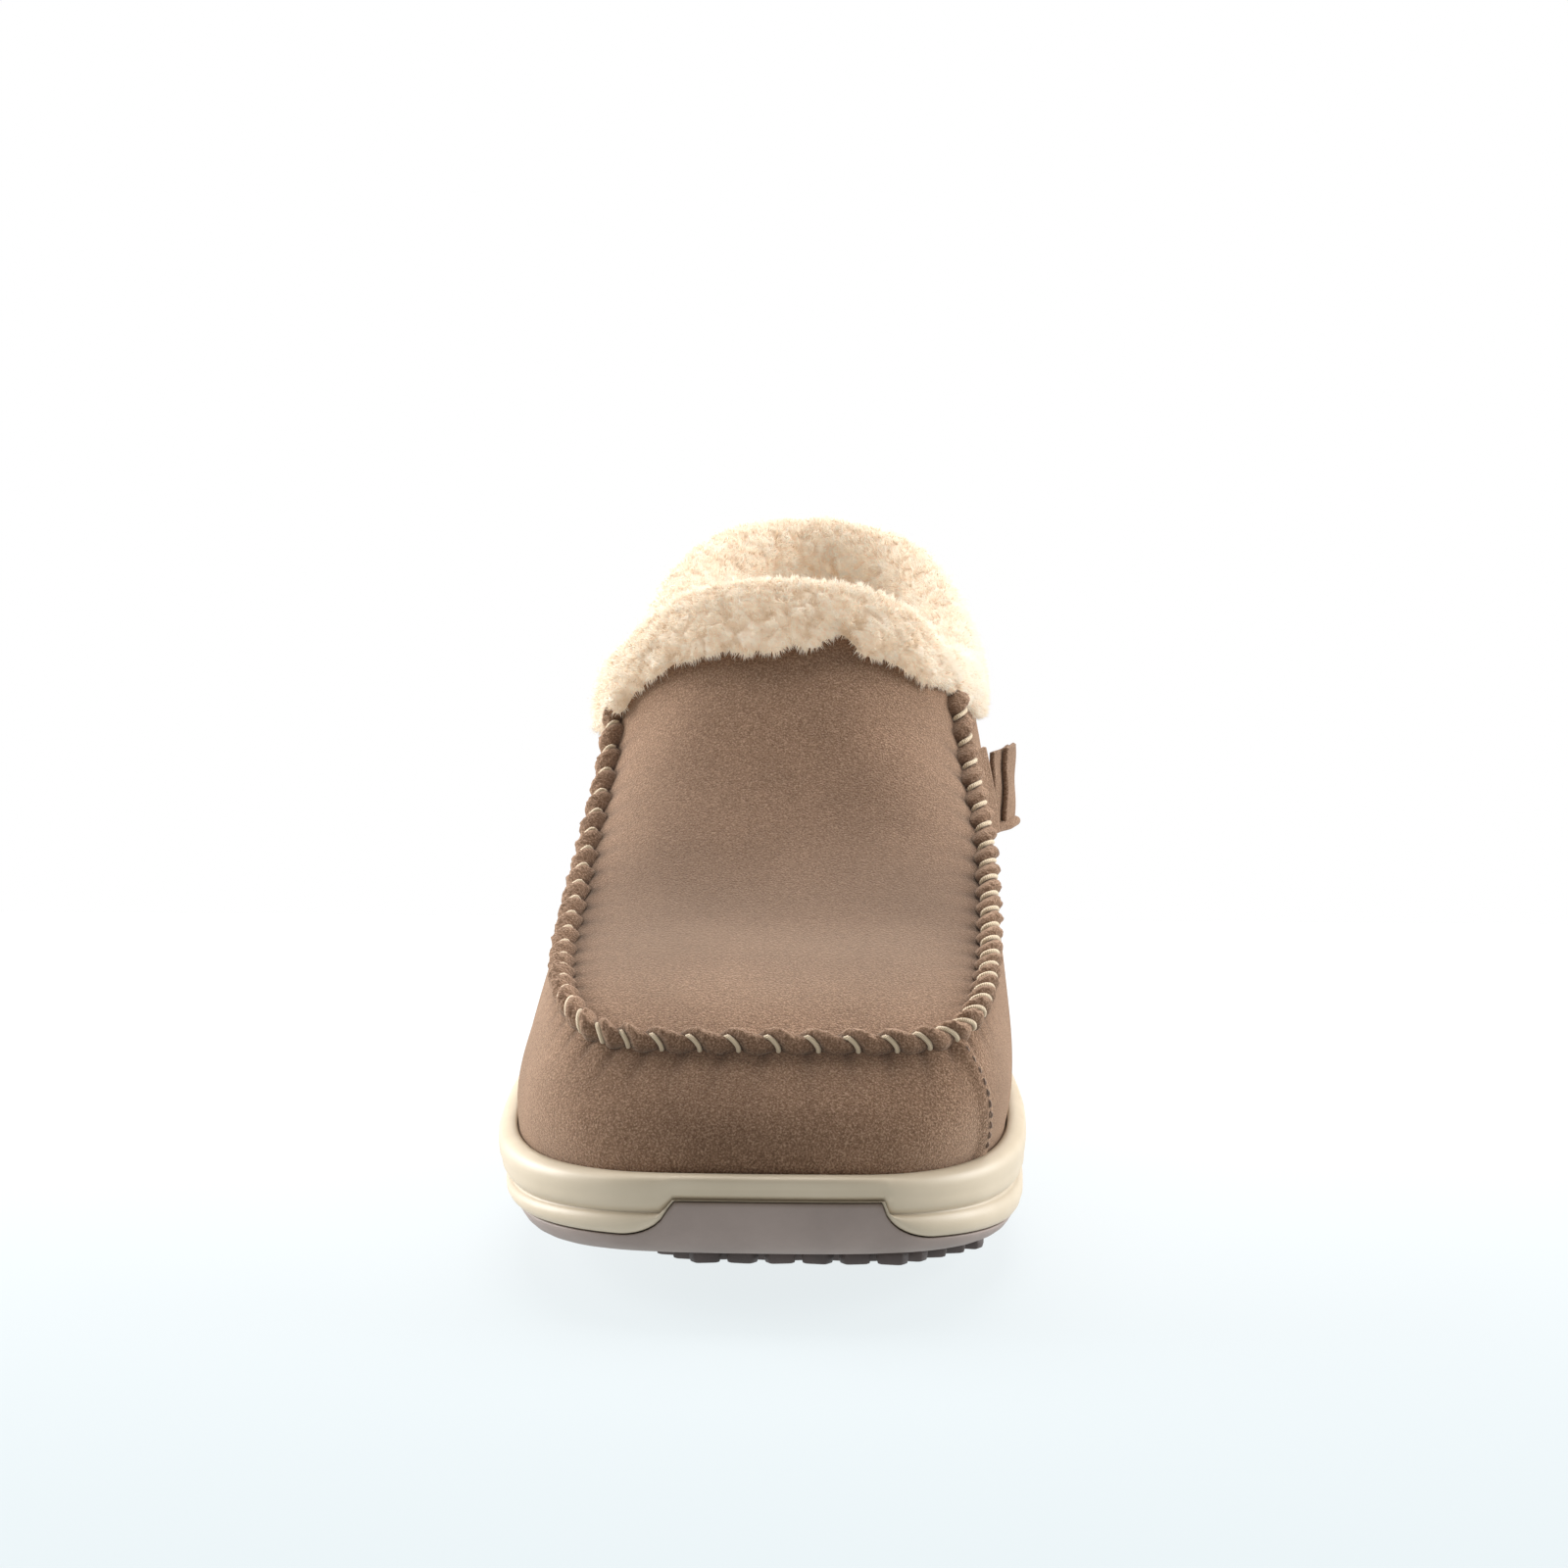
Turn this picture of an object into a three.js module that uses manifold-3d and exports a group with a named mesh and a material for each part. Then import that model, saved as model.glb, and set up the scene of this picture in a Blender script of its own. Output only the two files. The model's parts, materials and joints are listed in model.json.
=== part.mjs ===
// A right-foot moccasin: suede upper with a stitched apron, shearling cuff and lining,
// moulded two-lobed midsole and a rubber outsole. Millimetres, toe towards -Y, medial side
// towards +X, +Z up, with the origin under the centre of the sole.
import * as THREE from 'three';
import { mergeVertices } from 'three/addons/utils/BufferGeometryUtils.js';
import Module from 'manifold-3d';

const wasm = await Module();
wasm.setup();

// ---- Driving dimensions ------------------------------------------------------------------
const soleLength = 300;
const ballWidth = 112.2;
const heelWidth = 84;
const upperWidth = 88.3; // between the two sides of the apron seam at its widest
const clearance = 0.3; // gap between touching pieces
const fitGap = 0.4; // gap under the pieces that lie on a curved floor
const layerGap = 0.6; // gap between the layers of the upper
const seamGap = 0.4; // each panel stops this far short of its seam
const mouldGap = 1.4; // gap round the rubber skin that the foam is moulded into
const bumperGap = 0.9; // between the bumper's rising edge and the foam's rounded ends, along the toe

// sole heights
const soleBottom = 2.6; // underside of the outsole where the treads stand
const toeSpring = 10.6;
const toeSpringLength = 110;
const heelSpring = 3;
const heelSpringLength = 25;
const rimHeight = 4; // the midsole's edge stands this far above its floor
const rimWidth = 1.7;
const rimInset = 2.4; // from the widest line of the sole to the top of the rim
const outsoleSkin = 3;
// parting line between rubber and foam, as a part of the sole's height
const lobeStart = { medial: 0.2, lateral: 0.32, ends: 0.22 };
const bumperTop = 0.68; // the same at the toe, where the rubber wraps up
const bumperHalfWidth = 22;
const bumperFade = 11.5; // width of the foam's rounded end on either side of the bumper
const widestAt = 0.76; // part of the sole's height at which it is widest
const undercut = { medial: 1, lateral: 3.6, ends: 1 }; // from there the side leans in by this at the ground
const grooveHeight = 0.53;

// treads
const treadInset = 11;
const treadPlate = 1;
const lugWidth = 10.5;
const lugLength = 6;
const lugPitchX = 13;
const lugPitchY = 10.5;
const pivotRadius = 12; // plain round lug in the middle of each tread
const forefootTread = { start: 13, end: 132, pivot: 100 };
const heelTread = { start: 208, end: 291, pivot: 250 };

// layers of the upper, from the outside in
const suede = 1.5;
const stiffener = 0.9;
const fleece = 2.4;
const liningDepth = suede + layerGap + stiffener + layerGap;
const upperDepth = liningDepth + fleece;
const wallInset = rimInset + rimWidth + clearance; // outer face of the upper at the midsole

// footbed
const boardThickness = 1.8;
const foamThickness = 4.2;
const sockThickness = 2;
const bedGap = 0.7; // between the footbed's edge and the lining
const bedInset = wallInset + upperDepth + bedGap;
const sockBase = 3 * fitGap + boardThickness + foamThickness; // above the midsole's floor

// seam ridge and threads
const ridgeWidth = 4.6;
const ridgeHeight = 3.2;
const stitchPitch = 7.4;
const threadSize = 0.9;
const fineThread = 0.6;

// cuff
const cuffDrop = 14.5; // how far it reaches down the outside
const cuffLift = 1.3; // its inner face clears the suede by this much
const cuffThickness = 6.2;
const cuffRise = 5.2; // above the suede's top edge
const cuffInside = 5; // how far it reaches down the inside

// side tab
const tabHeight = 20;
const tabLength = 17.2;
const tabThickness = 2.4;
const tabAngle = 20; // degrees off the quarter
const tabHingeStation = 0.505;
const tabMiddle = 83; // height of its middle
const tabRootSpan = 0.022; // of u, the sewn strip in front of the hinge
const tabRootThickness = 1.4;
const tabLift = 2; // of its hinge line off the quarter

// ---- Lines of the last -------------------------------------------------------------------
// u runs round the shoe: 0 at the toe, +1 at the heel by the medial side, -1 by the lateral.
const ballEnd = 0.3; // u at the ball of the foot
const heelBegin = 0.8; // u where the heel turns
const mouthAt = 0.52; // u where the apron seam reaches the mouth
const cornerAt = 0.15; // u of the toe corner of the apron

const outline = {
  toeX: 5.85,
  heelX: 7.3,
  heelWide: 252, // distance from the toe to the widest place of the heel
  heelFullness: 2.3,
  medial: { edge: ballWidth / 2, ball: 70, fullness: 2.7, waist: 5 },
  lateral: { edge: -ballWidth / 2, ball: 86, fullness: 3, waist: -2 },
};

// Top edge of the wall: the apron seam up to the mouth, then the topline back to the heel.
// Each row is u, distance from the toe, height, lateral x, medial x.
const topLine = [
  [0, 19.5, 52.3, 5.9, 5.9],
  [0.05, 19.6, 52.3, -9.5, 21],
  [0.1, 20.8, 52.6, -23, 33.5],
  [0.15, 24, 53.8, -31.5, 40.5],
  [0.2, 31, 56.3, -36.5, 44.5],
  [0.25, 43.5, 58.9, -39.8, 46.5],
  [0.3, 62, 62.1, -41, 47.3],
  [0.36, 88, 69.7, -40.2, 47],
  [0.42, 111, 79.3, -38.5, 45.8],
  [0.47, 131, 91.5, -36.4, 43.2],
  [0.52, 150, 108, -35, 41.2],
  [0.6, 177, 103.5, -35.3, 42.7],
  [0.68, 204, 101, -32.2, 42.2],
  [0.76, 232, 106, -28, 39.7],
  [0.84, 257, 114, -22.3, 35],
  [0.92, 275.5, 121, -10.5, 24.5],
  [1, 284, 124.5, 7.3, 7.3],
];
const topLineLength = 300; // sole length and seam width that the rows above are drawn for
const topLineWidth = 88.3;
const topLineAxis = 3.15; // x of the middle of the seam in those rows

const rimLine = [[0, 30], [8, 28.6], [25, 27.8], [60, 27.4], [90, 27.8], [150, 31], [220, 35], [300, 37.5]];
const spine = [
  [19.5, 52.3], [32, 58.5], [48, 63.5], [68, 68.5], [88, 78], [108, 94], [124, 111], [139, 126.5],
];
const bulge = [[0, 5], [0.15, 4.5], [0.3, 3], [0.5, 4], [0.7, 4.5], [1, 3.5]];
const mouthForward = 11; // the mouth's front edge curves this far forward of its ends
const mouthArch = 18.5; // and this far above them
const rimStep = 0.12; // share of the wall that stands inside the rim

// ---- Small mathematics -------------------------------------------------------------------
const lerp = THREE.MathUtils.lerp;
const clamp = THREE.MathUtils.clamp;
const smooth = (x, low, high) => THREE.MathUtils.smoothstep(x, low, high);

// Smooth curve through the rows, read from one column at the place given in the first column.
// A curve with level ends meets its own mirror image smoothly at the toe and the heel.
function through(rows, at, column = 1, levelEnds = false) {
  const last = rows.length - 1;
  const x = clamp(at, rows[0][0], rows[last][0]);
  let k = 0;
  while (k < last - 1 && x > rows[k + 1][0]) k += 1;
  const slope = (i) => {
    if (levelEnds && (i === 0 || i === last)) return 0;
    const a = Math.max(i - 1, 0);
    const b = Math.min(i + 1, last);
    return (rows[b][column] - rows[a][column]) / (rows[b][0] - rows[a][0]);
  };
  const span = rows[k + 1][0] - rows[k][0];
  const t = (x - rows[k][0]) / span;
  const rise = rows[k + 1][column] - rows[k][column];
  const startSlope = slope(k) * span - rise;
  const endSlope = rise - slope(k + 1) * span;
  const blend = startSlope * (1 - t) + endSlope * t;
  return lerp(rows[k][column], rows[k + 1][column], t) + t * (1 - t) * blend;
}

const fromToe = (y) => y + soleLength / 2;
const lengthScale = soleLength / topLineLength;
const widthScale = upperWidth / topLineWidth;
const axisShift = topLineAxis * (1 - widthScale);

// ---- The sole's plan and heights ---------------------------------------------------------
function outlinePoint(u) {
  const side = u < 0 ? outline.lateral : outline.medial;
  const along = Math.abs(u);
  const ball = side.ball * lengthScale;
  const heelWide = outline.heelWide * lengthScale;
  const heelEdge = outline.heelX + Math.sign(side.edge) * heelWidth / 2;
  let x;
  let s;
  if (along < ballEnd) {
    const a = (along / ballEnd) * Math.PI / 2;
    x = outline.toeX + (side.edge - outline.toeX) * Math.sin(a) ** (2 / side.fullness);
    s = ball * (1 - Math.cos(a) ** (2 / side.fullness));
  } else if (along < heelBegin) {
    const w = (along - ballEnd) / (heelBegin - ballEnd);
    x = lerp(side.edge, heelEdge, smooth(w, 0, 1)) - side.waist * Math.sin(Math.PI * w) ** 2;
    s = lerp(ball, heelWide, w);
  } else {
    const a = ((along - heelBegin) / (1 - heelBegin)) * Math.PI / 2;
    const turn = 2 / outline.heelFullness;
    x = outline.heelX + (heelEdge - outline.heelX) * Math.max(Math.cos(a), 0) ** turn;
    s = heelWide + (soleLength - heelWide) * Math.sin(a) ** turn;
  }
  return new THREE.Vector2(x, s - soleLength / 2);
}

const wrap = (u) => (u > 1 ? u - 2 : u < -1 ? u + 2 : u);

// Outward direction of the outline, taken over a short stretch so that its joints stay smooth.
function outward(u) {
  const reach = 0.012;
  const ahead = outlinePoint(wrap(u + reach));
  const behind = outlinePoint(wrap(u - reach));
  const along = ahead.sub(behind).normalize();
  return new THREE.Vector2(along.y, -along.x);
}

const insetPoint = (u, inset) => outlinePoint(u).addScaledVector(outward(u), -inset);

function undersideAt(y) {
  const s = fromToe(y);
  const toe = clamp(1 - s / toeSpringLength, 0, 1.1);
  const heel = clamp((s - soleLength + heelSpringLength) / heelSpringLength, 0, 1);
  return soleBottom + toeSpring * toe ** 2 + heelSpring * heel ** 2;
}

const rimAt = (y) => through(rimLine, fromToe(y) / lengthScale);
const floorAt = (y) => rimAt(y) - rimHeight;
const soleHeightAt = (y, part) => lerp(undersideAt(y), rimAt(y), part);

// A value that has its own size on either side of the sole and another at its two ends.
function sideValue(values, u) {
  const along = Math.abs(u);
  const share = smooth(along, 0, ballEnd) * (1 - smooth(along, heelBegin, 1));
  return lerp(values.ends, u < 0 ? values.lateral : values.medial, share);
}

// Height of the line between rubber and foam. At the toe it rises along a quarter of an ellipse
// to make the bumper. `spread` moves that rise outwards, to leave room beside the rubber.
function partingAt(u, spread = 0) {
  const x = Math.abs(outlinePoint(u).x - outline.toeX);
  const inToe = Math.abs(u) < ballEnd ? 1 : 0;
  const rise = clamp((bumperHalfWidth + bumperFade + spread - x) / bumperFade, 0, 1);
  const lift = inToe * (1 - Math.sqrt(1 - rise * rise));
  return lerp(sideValue(lobeStart, u), bumperTop, lift);
}

const grooveAt = (u) => Math.max(grooveHeight, partingAt(u, bumperGap) + 0.03);

// ---- The upper's wall and apron ----------------------------------------------------------
function topPoint(u) {
  const along = Math.abs(u);
  const s = through(topLine, along, 1, true) * lengthScale;
  const x = through(topLine, along, u < 0 ? 3 : 4) * widthScale + axisShift;
  return new THREE.Vector3(x, s - soleLength / 2, through(topLine, along, 2, true));
}

// v runs up the wall from the midsole's floor; the first stretch stands inside the rim.
function wallPoint(u, v) {
  const foot = insetPoint(u, wallInset);
  const floor = floorAt(foot.y) + clearance;
  const rim = rimAt(foot.y) + clearance;
  if (v < rimStep) return new THREE.Vector3(foot.x, foot.y, lerp(floor, rim, v / rimStep));
  const w = (v - rimStep) / (1 - rimStep);
  const point = new THREE.Vector3(foot.x, foot.y, rim).lerp(topPoint(u), w);
  const out = outward(u).multiplyScalar(through(bulge, Math.abs(u)) * 4 * w * (1 - w));
  return point.add(new THREE.Vector3(out.x, out.y, 0));
}

// Front edge of the mouth, from its lateral end (a = -1) to its medial end (a = 1).
function mouthPoint(a) {
  const point = topPoint(-mouthAt).lerp(topPoint(mouthAt), (a + 1) / 2);
  const arch = 1 - Math.abs(a) ** 3;
  return point.add(new THREE.Vector3(0, -mouthForward * arch * lengthScale, mouthArch * arch));
}

// Apron: a patch between the front seam, the two side seams and the mouth, crowned to the spine.
function flatApron(a, b) {
  const across = (a + 1) / 2;
  const side = lerp(cornerAt, mouthAt, b);
  const blend = topPoint(a * cornerAt).lerp(mouthPoint(a), b);
  blend.add(topPoint(-side).lerp(topPoint(side), across));
  const front = topPoint(-cornerAt).lerp(topPoint(cornerAt), across);
  const back = mouthPoint(-1).lerp(mouthPoint(1), across);
  return blend.sub(front.lerp(back, b));
}

function apronPoint(a, b) {
  const point = flatApron(a, b);
  const middle = flatApron(0, b);
  const crown = through(spine, fromToe(middle.y) / lengthScale) - middle.z;
  point.z += crown * (1 - a * a);
  return point;
}

// Outward normal of a surface, from short steps inside its own limits.
function normalOf(surface, p, q, limits) {
  const step = 0.01;
  const [lowP, highP, lowQ, highQ] = limits;
  const alongP = surface(Math.min(p + step, highP), q).sub(surface(Math.max(p - step, lowP), q));
  const alongQ = surface(p, Math.min(q + step, highQ)).sub(surface(p, Math.max(q - step, lowQ)));
  return alongP.cross(alongQ).normalize();
}

const wallLimits = [-2, 2, rimStep, 1];
const apronLimits = [-1, 1, 0, 1];
const wallAround = (p, q) => wallPoint(wrap(p), q);
const wallFace = (u, v) => normalOf(wallAround, u, Math.max(v, rimStep + 0.02), wallLimits);
const apronFace = (a, b) => normalOf(apronPoint, a, b, apronLimits);

// At the apron seam both surfaces share one direction, halfway between their own.
function seamNormal(u) {
  const along = Math.abs(u);
  const a = along < cornerAt ? u / cornerAt : Math.sign(u);
  const b = along < cornerAt ? 0 : (along - cornerAt) / (mouthAt - cornerAt);
  return wallFace(u, 1).add(apronFace(a, Math.min(b, 1))).normalize();
}

function wallNormal(u, v) {
  const along = Math.abs(u);
  const normal = wallFace(u, v);
  const onSeam = 1 - smooth(along, mouthAt, mouthAt + 0.06);
  const share = smooth(v, 0.7, 1) * onSeam;
  if (share > 0) normal.lerp(seamNormal(Math.sign(u) * Math.min(along, mouthAt)), share).normalize();
  if (v < rimStep) normal.setZ(0).normalize();
  return normal;
}

function apronNormal(a, b) {
  const u = b < 1e-6 ? a * cornerAt : Math.sign(a) * lerp(cornerAt, mouthAt, b);
  const share = Math.max(smooth(Math.abs(a), 0.75, 1), 1 - smooth(b, 0, 0.12));
  const nearU = Math.abs(a) > 0.75 ? lerp(a * cornerAt, u, smooth(Math.abs(a), 0.75, 1)) : a * cornerAt;
  return apronFace(a, b).lerp(seamNormal(nearU), share).normalize();
}

// ---- Solids from points ------------------------------------------------------------------
function solid(points, faces) {
  const positions = new Float32Array(points.flatMap((p) => [p.x, p.y, p.z]));
  let volume = 0;
  for (const [a, b, c] of faces) {
    volume += points[a].dot(points[b].clone().cross(points[c]));
  }
  const turned = volume < 0 ? faces.map(([a, b, c]) => [a, c, b]) : faces;
  const geometry = new THREE.BufferGeometry();
  geometry.setAttribute('position', new THREE.BufferAttribute(positions, 3));
  geometry.setIndex(turned.flat());
  return geometry;
}

const quad = (a, b, c, d) => [[a, b, c], [a, c, d]];

// Rings of equal count joined one to the next; each end ring is closed by rungs across it.
function ringSolid(rings) {
  const count = rings[0].length;
  const faces = [];
  for (let r = 0; r < rings.length - 1; r += 1) {
    for (let i = 0; i < count; i += 1) {
      const j = (i + 1) % count;
      faces.push(...quad(r * count + i, r * count + j, (r + 1) * count + j, (r + 1) * count + i));
    }
  }
  const cap = (start, turn) => {
    const rungs = [];
    for (let i = 0; i < count / 2; i += 1) {
      const [a, b] = [i, i + 1];
      const [c, d] = [(count - i - 1) % count, (count - i) % count];
      if (i > 0) rungs.push([a, d, c]);
      if (i < count / 2 - 1) rungs.push([a, c, b]);
    }
    return rungs.map((f) => f.map((k) => k + start)).map(([a, b, c]) => (turn ? [a, c, b] : [a, b, c]));
  };
  faces.push(...cap(0, false), ...cap((rings.length - 1) * count, true));
  return solid(rings.flat(), faces);
}

// Sections of equal count joined one to the next, either round a loop or with both ends closed.
function sweepSolid(sections, loop) {
  const count = sections[0].length;
  const faces = [];
  const joints = loop ? sections.length : sections.length - 1;
  for (let r = 0; r < joints; r += 1) {
    const next = (r + 1) % sections.length;
    for (let i = 0; i < count; i += 1) {
      const j = (i + 1) % count;
      faces.push(...quad(r * count + i, r * count + j, next * count + j, next * count + i));
    }
  }
  if (!loop) {
    const last = (sections.length - 1) * count;
    for (let i = 1; i < count - 1; i += 1) {
      faces.push([0, i + 1, i], [last, last + i, last + i + 1]);
    }
  }
  return solid(sections.flat(), faces);
}

// A panel of sheet material: its outer face lies `outer` under the surface and its inner face
// `inner` under it. Its four edges are drawn in by the seam gap.
function panelSolid(pointAt, normalAt, columns, rows, outer, inner) {
  const layer = (depth) => {
    const grid = [];
    for (let j = 0; j <= rows; j += 1) {
      for (let i = 0; i <= columns; i += 1) {
        const point = pointAt(i / columns, j / rows);
        const normal = normalAt(i / columns, j / rows);
        grid.push(point.addScaledVector(normal, -depth));
      }
    }
    return drawIn(grid, columns, rows);
  };
  const top = layer(outer);
  const bottom = layer(inner);
  const size = top.length;
  const at = (i, j) => j * (columns + 1) + i;
  const faces = [];
  for (let j = 0; j < rows; j += 1) {
    for (let i = 0; i < columns; i += 1) {
      faces.push(...quad(at(i, j), at(i + 1, j), at(i + 1, j + 1), at(i, j + 1)));
      faces.push(...quad(at(i, j) + size, at(i, j + 1) + size, at(i + 1, j + 1) + size, at(i + 1, j) + size));
    }
  }
  const edge = [];
  for (let i = 0; i < columns; i += 1) edge.push(at(i, 0));
  for (let j = 0; j < rows; j += 1) edge.push(at(columns, j));
  for (let i = columns; i > 0; i -= 1) edge.push(at(i, rows));
  for (let j = rows; j > 0; j -= 1) edge.push(at(0, j));
  edge.forEach((a, k) => {
    const b = edge[(k + 1) % edge.length];
    faces.push(...quad(a, a + size, b + size, b));
  });
  return solid([...top, ...bottom], faces);
}

function drawIn(grid, columns, rows) {
  const at = (i, j) => j * (columns + 1) + i;
  const moved = grid.map((p) => p.clone());
  const pull = (edge, inner) => {
    const step = grid[inner].clone().sub(grid[edge]);
    moved[edge].addScaledVector(step.normalize(), seamGap);
  };
  for (let j = 0; j <= rows; j += 1) {
    pull(at(0, j), at(1, j));
    pull(at(columns, j), at(columns - 1, j));
  }
  for (let i = 0; i <= columns; i += 1) {
    pull(at(i, 0), at(i, 1));
    pull(at(i, rows), at(i, rows - 1));
  }
  return moved;
}

// ---- Boolean work ------------------------------------------------------------------------
function toManifold(geometry) {
  const bare = geometry.clone();
  bare.deleteAttribute('normal');
  bare.deleteAttribute('uv');
  const merged = mergeVertices(bare, 1e-4);
  const mesh = new wasm.Mesh({
    numProp: 3,
    vertProperties: new Float32Array(merged.attributes.position.array),
    triVerts: new Uint32Array(merged.index.array),
  });
  mesh.merge();
  return new wasm.Manifold(mesh);
}

function fromManifold(manifold) {
  const mesh = manifold.getMesh();
  const geometry = new THREE.BufferGeometry();
  geometry.setAttribute('position', new THREE.BufferAttribute(mesh.vertProperties, 3));
  geometry.setIndex(new THREE.BufferAttribute(mesh.triVerts, 1));
  return geometry;
}

// ---- Sole --------------------------------------------------------------------------------
const loopCount = 104;
const loopStations = Array.from({ length: loopCount }, (_, i) => -1 + (2 * i) / loopCount);
const ring = (insetAt, heightAt) => loopStations.map((u) => {
  const plan = insetPoint(u, insetAt(u));
  return new THREE.Vector3(plan.x, plan.y, heightAt(plan.y, u));
});
const fixed = (value) => () => value;

// A ring round the outside of the sole, which leans in towards the ground.
const soleRing = (inset, heightAt) => loopStations.map((u) => {
  const { y } = insetPoint(u, inset);
  const part = (heightAt(y, u) - undersideAt(y)) / (rimAt(y) - undersideAt(y));
  const lean = Math.max(1 - part / widestAt, 0);
  const plan = insetPoint(u, inset + sideValue(undercut, u) * lean);
  return new THREE.Vector3(plan.x, plan.y, heightAt(plan.y, u));
});

// Side profile of the rubber: part of the way up to the parting line, and inset there.
const rubberSide = [[0, 10], [0.16, 6], [0.42, 3.2], [0.75, 1.9], [1, 1.4]];

function makeOutsole() {
  const rings = [];
  for (const [part, inset] of rubberSide) {
    rings.push(soleRing(inset, (y, u) => soleHeightAt(y, part * partingAt(u))));
  }
  const edge = rubberSide.at(-1)[1];
  rings.push(soleRing(edge + outsoleSkin, (y, u) => soleHeightAt(y, partingAt(u))));
  rings.push(soleRing(edge + outsoleSkin + 2.5, (y) => undersideAt(y) + outsoleSkin));
  return ringSolid(rings);
}

// Side profile of the foam: lobe from the parting line to the groove, then the upper band.
const lobeSide = [[0, 1.4], [0.25, 0.5], [0.6, 0.2], [0.88, 0.9], [1, 1.9]];
const bandSide = [[0.14, 0.7], [0.5, 0], [0.82, 0.5], [1, rimInset]];

function makeMidsole() {
  const under = rubberSide.at(-1)[1] + outsoleSkin + mouldGap;
  const partingHeight = (y, u) => soleHeightAt(y, partingAt(u, bumperGap)) + clearance;
  const rings = [
    soleRing(under + 2.5, (y) => undersideAt(y) + outsoleSkin + fitGap),
    soleRing(under, partingHeight),
  ];
  for (const [part, inset] of lobeSide) {
    rings.push(soleRing(inset, (y, u) => {
      const low = partingHeight(y, u);
      return lerp(low, soleHeightAt(y, grooveAt(u)), part);
    }));
  }
  for (const [part, inset] of bandSide) {
    rings.push(soleRing(inset, (y, u) => soleHeightAt(y, lerp(grooveAt(u), 1, part))));
  }
  rings.push(ring(fixed(rimInset + rimWidth), (y) => rimAt(y)));
  rings.push(ring(fixed(rimInset + rimWidth), (y) => floorAt(y)));
  return ringSolid(rings);
}

const treadEdge = (u) => treadInset + sideValue(undercut, u);

// Thin plate that follows the underside, cut to length, with staggered lugs under it.
function makeTread({ start, end, pivot }) {
  const plateTop = (y) => undersideAt(y) - clearance;
  const plateBottom = (y) => plateTop(y) - treadPlate;
  const plate = toManifold(ringSolid([
    ring(treadEdge, plateBottom),
    ring(treadEdge, plateTop),
  ]));
  const first = start * lengthScale - soleLength / 2;
  const last = end * lengthScale - soleLength / 2;
  const window = new THREE.BoxGeometry(ballWidth, last - first, 60);
  window.translate(0, (first + last) / 2, 20);
  let tread = plate.intersect(toManifold(window));
  const middleY = pivot * lengthScale - soleLength / 2;
  const middleX = (sideAt(middleY, 1) + sideAt(middleY, -1)) / 2;
  const lugDrop = soleBottom - clearance - treadPlate;
  const disc = new THREE.CylinderGeometry(pivotRadius, pivotRadius, lugDrop + 0.4, 28);
  disc.rotateX(Math.PI / 2).translate(middleX, middleY, lugDrop / 2 + 0.2);
  tread = tread.add(toManifold(disc));
  let row = 0;
  for (let y = first + lugLength; y < last - lugLength; y += lugPitchY) {
    const shift = (row % 2) * lugPitchX / 2;
    const low = sideAt(y, -1) + treadInset + undercut.lateral + lugWidth / 2 + 1;
    const high = sideAt(y, 1) - treadInset - undercut.medial - lugWidth / 2 - 1;
    const middle = (low + high) / 2;
    for (let k = -6; k <= 6; k += 1) {
      const x = middle + k * lugPitchX + shift;
      const clearOfDisc = Math.hypot(x - middleX, y - middleY) > pivotRadius + lugWidth / 2 + 1;
      if (x > low && x < high && clearOfDisc) tread = tread.add(toManifold(lug(x, y, lugDrop)));
    }
    row += 1;
  }
  return fromManifold(tread);
}

// Edge of the sole on one side (+1 medial, -1 lateral) at a given y.
function sideAt(y, side) {
  let [near, far] = [0, 1];
  for (let k = 0; k < 30; k += 1) {
    const middle = (near + far) / 2;
    if (outlinePoint(side * middle).y < y) near = middle;
    else far = middle;
  }
  return outlinePoint(side * near).x;
}

function lug(x, y, drop) {
  const root = 0.4; // how far it is let into its plate
  const box = new THREE.BoxGeometry(lugWidth, lugLength, drop + root);
  const slope = (undersideAt(y + 1) - undersideAt(y - 1)) / 2;
  box.translate(0, 0, -(drop - root) / 2);
  box.rotateX(Math.atan(slope));
  return box.translate(x, y, undersideAt(y) - clearance - treadPlate);
}

// Inset of the footbed, drawn in further wherever the wall leans over the top of its sock.
function bedEdge(u) {
  const above = sockBase + sockThickness - rimHeight;
  const wallRise = (topPoint(u).z - rimAt(topPoint(u).y)) / (1 - rimStep);
  const level = rimStep + above / wallRise;
  const v = level + wallNormal(u, level).z * upperDepth / wallRise;
  const inside = wallPoint(u, v).addScaledVector(wallNormal(u, v), -upperDepth);
  const reach = outlinePoint(u).sub(new THREE.Vector2(inside.x, inside.y)).dot(outward(u));
  return Math.max(bedInset, reach + bedGap);
}

// A layer of the footbed, lying `base` above the midsole's floor.
function makeBedLayer(base, thickness) {
  return ringSolid([
    ring(bedEdge, (y) => floorAt(y) + base),
    ring(bedEdge, (y) => floorAt(y) + base + thickness),
  ]);
}

// ---- Upper -------------------------------------------------------------------------------
// Wall panel between two stations, which may lean with height, over part of the wall's height.
function wallPanel({ from, to, fromTop = from, toTop = to, low = 0, high = 1, columns, rows, outer, inner }) {
  const first = low < rimStep ? 1 / rows : 0; // one row of cells stands inside the rim
  const place = (i, j) => {
    const above = lerp(Math.max(low, rimStep), high, (j - first) / (1 - first));
    const v = j < first ? lerp(low, rimStep, j / first) : above;
    return [wrap(lerp(lerp(from, fromTop, v), lerp(to, toTop, v), i)), v];
  };
  const pointAt = (i, j) => wallPoint(...place(i, j));
  const normalAt = (i, j) => wallNormal(...place(i, j));
  return panelSolid(pointAt, normalAt, columns, rows, outer, inner);
}

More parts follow.
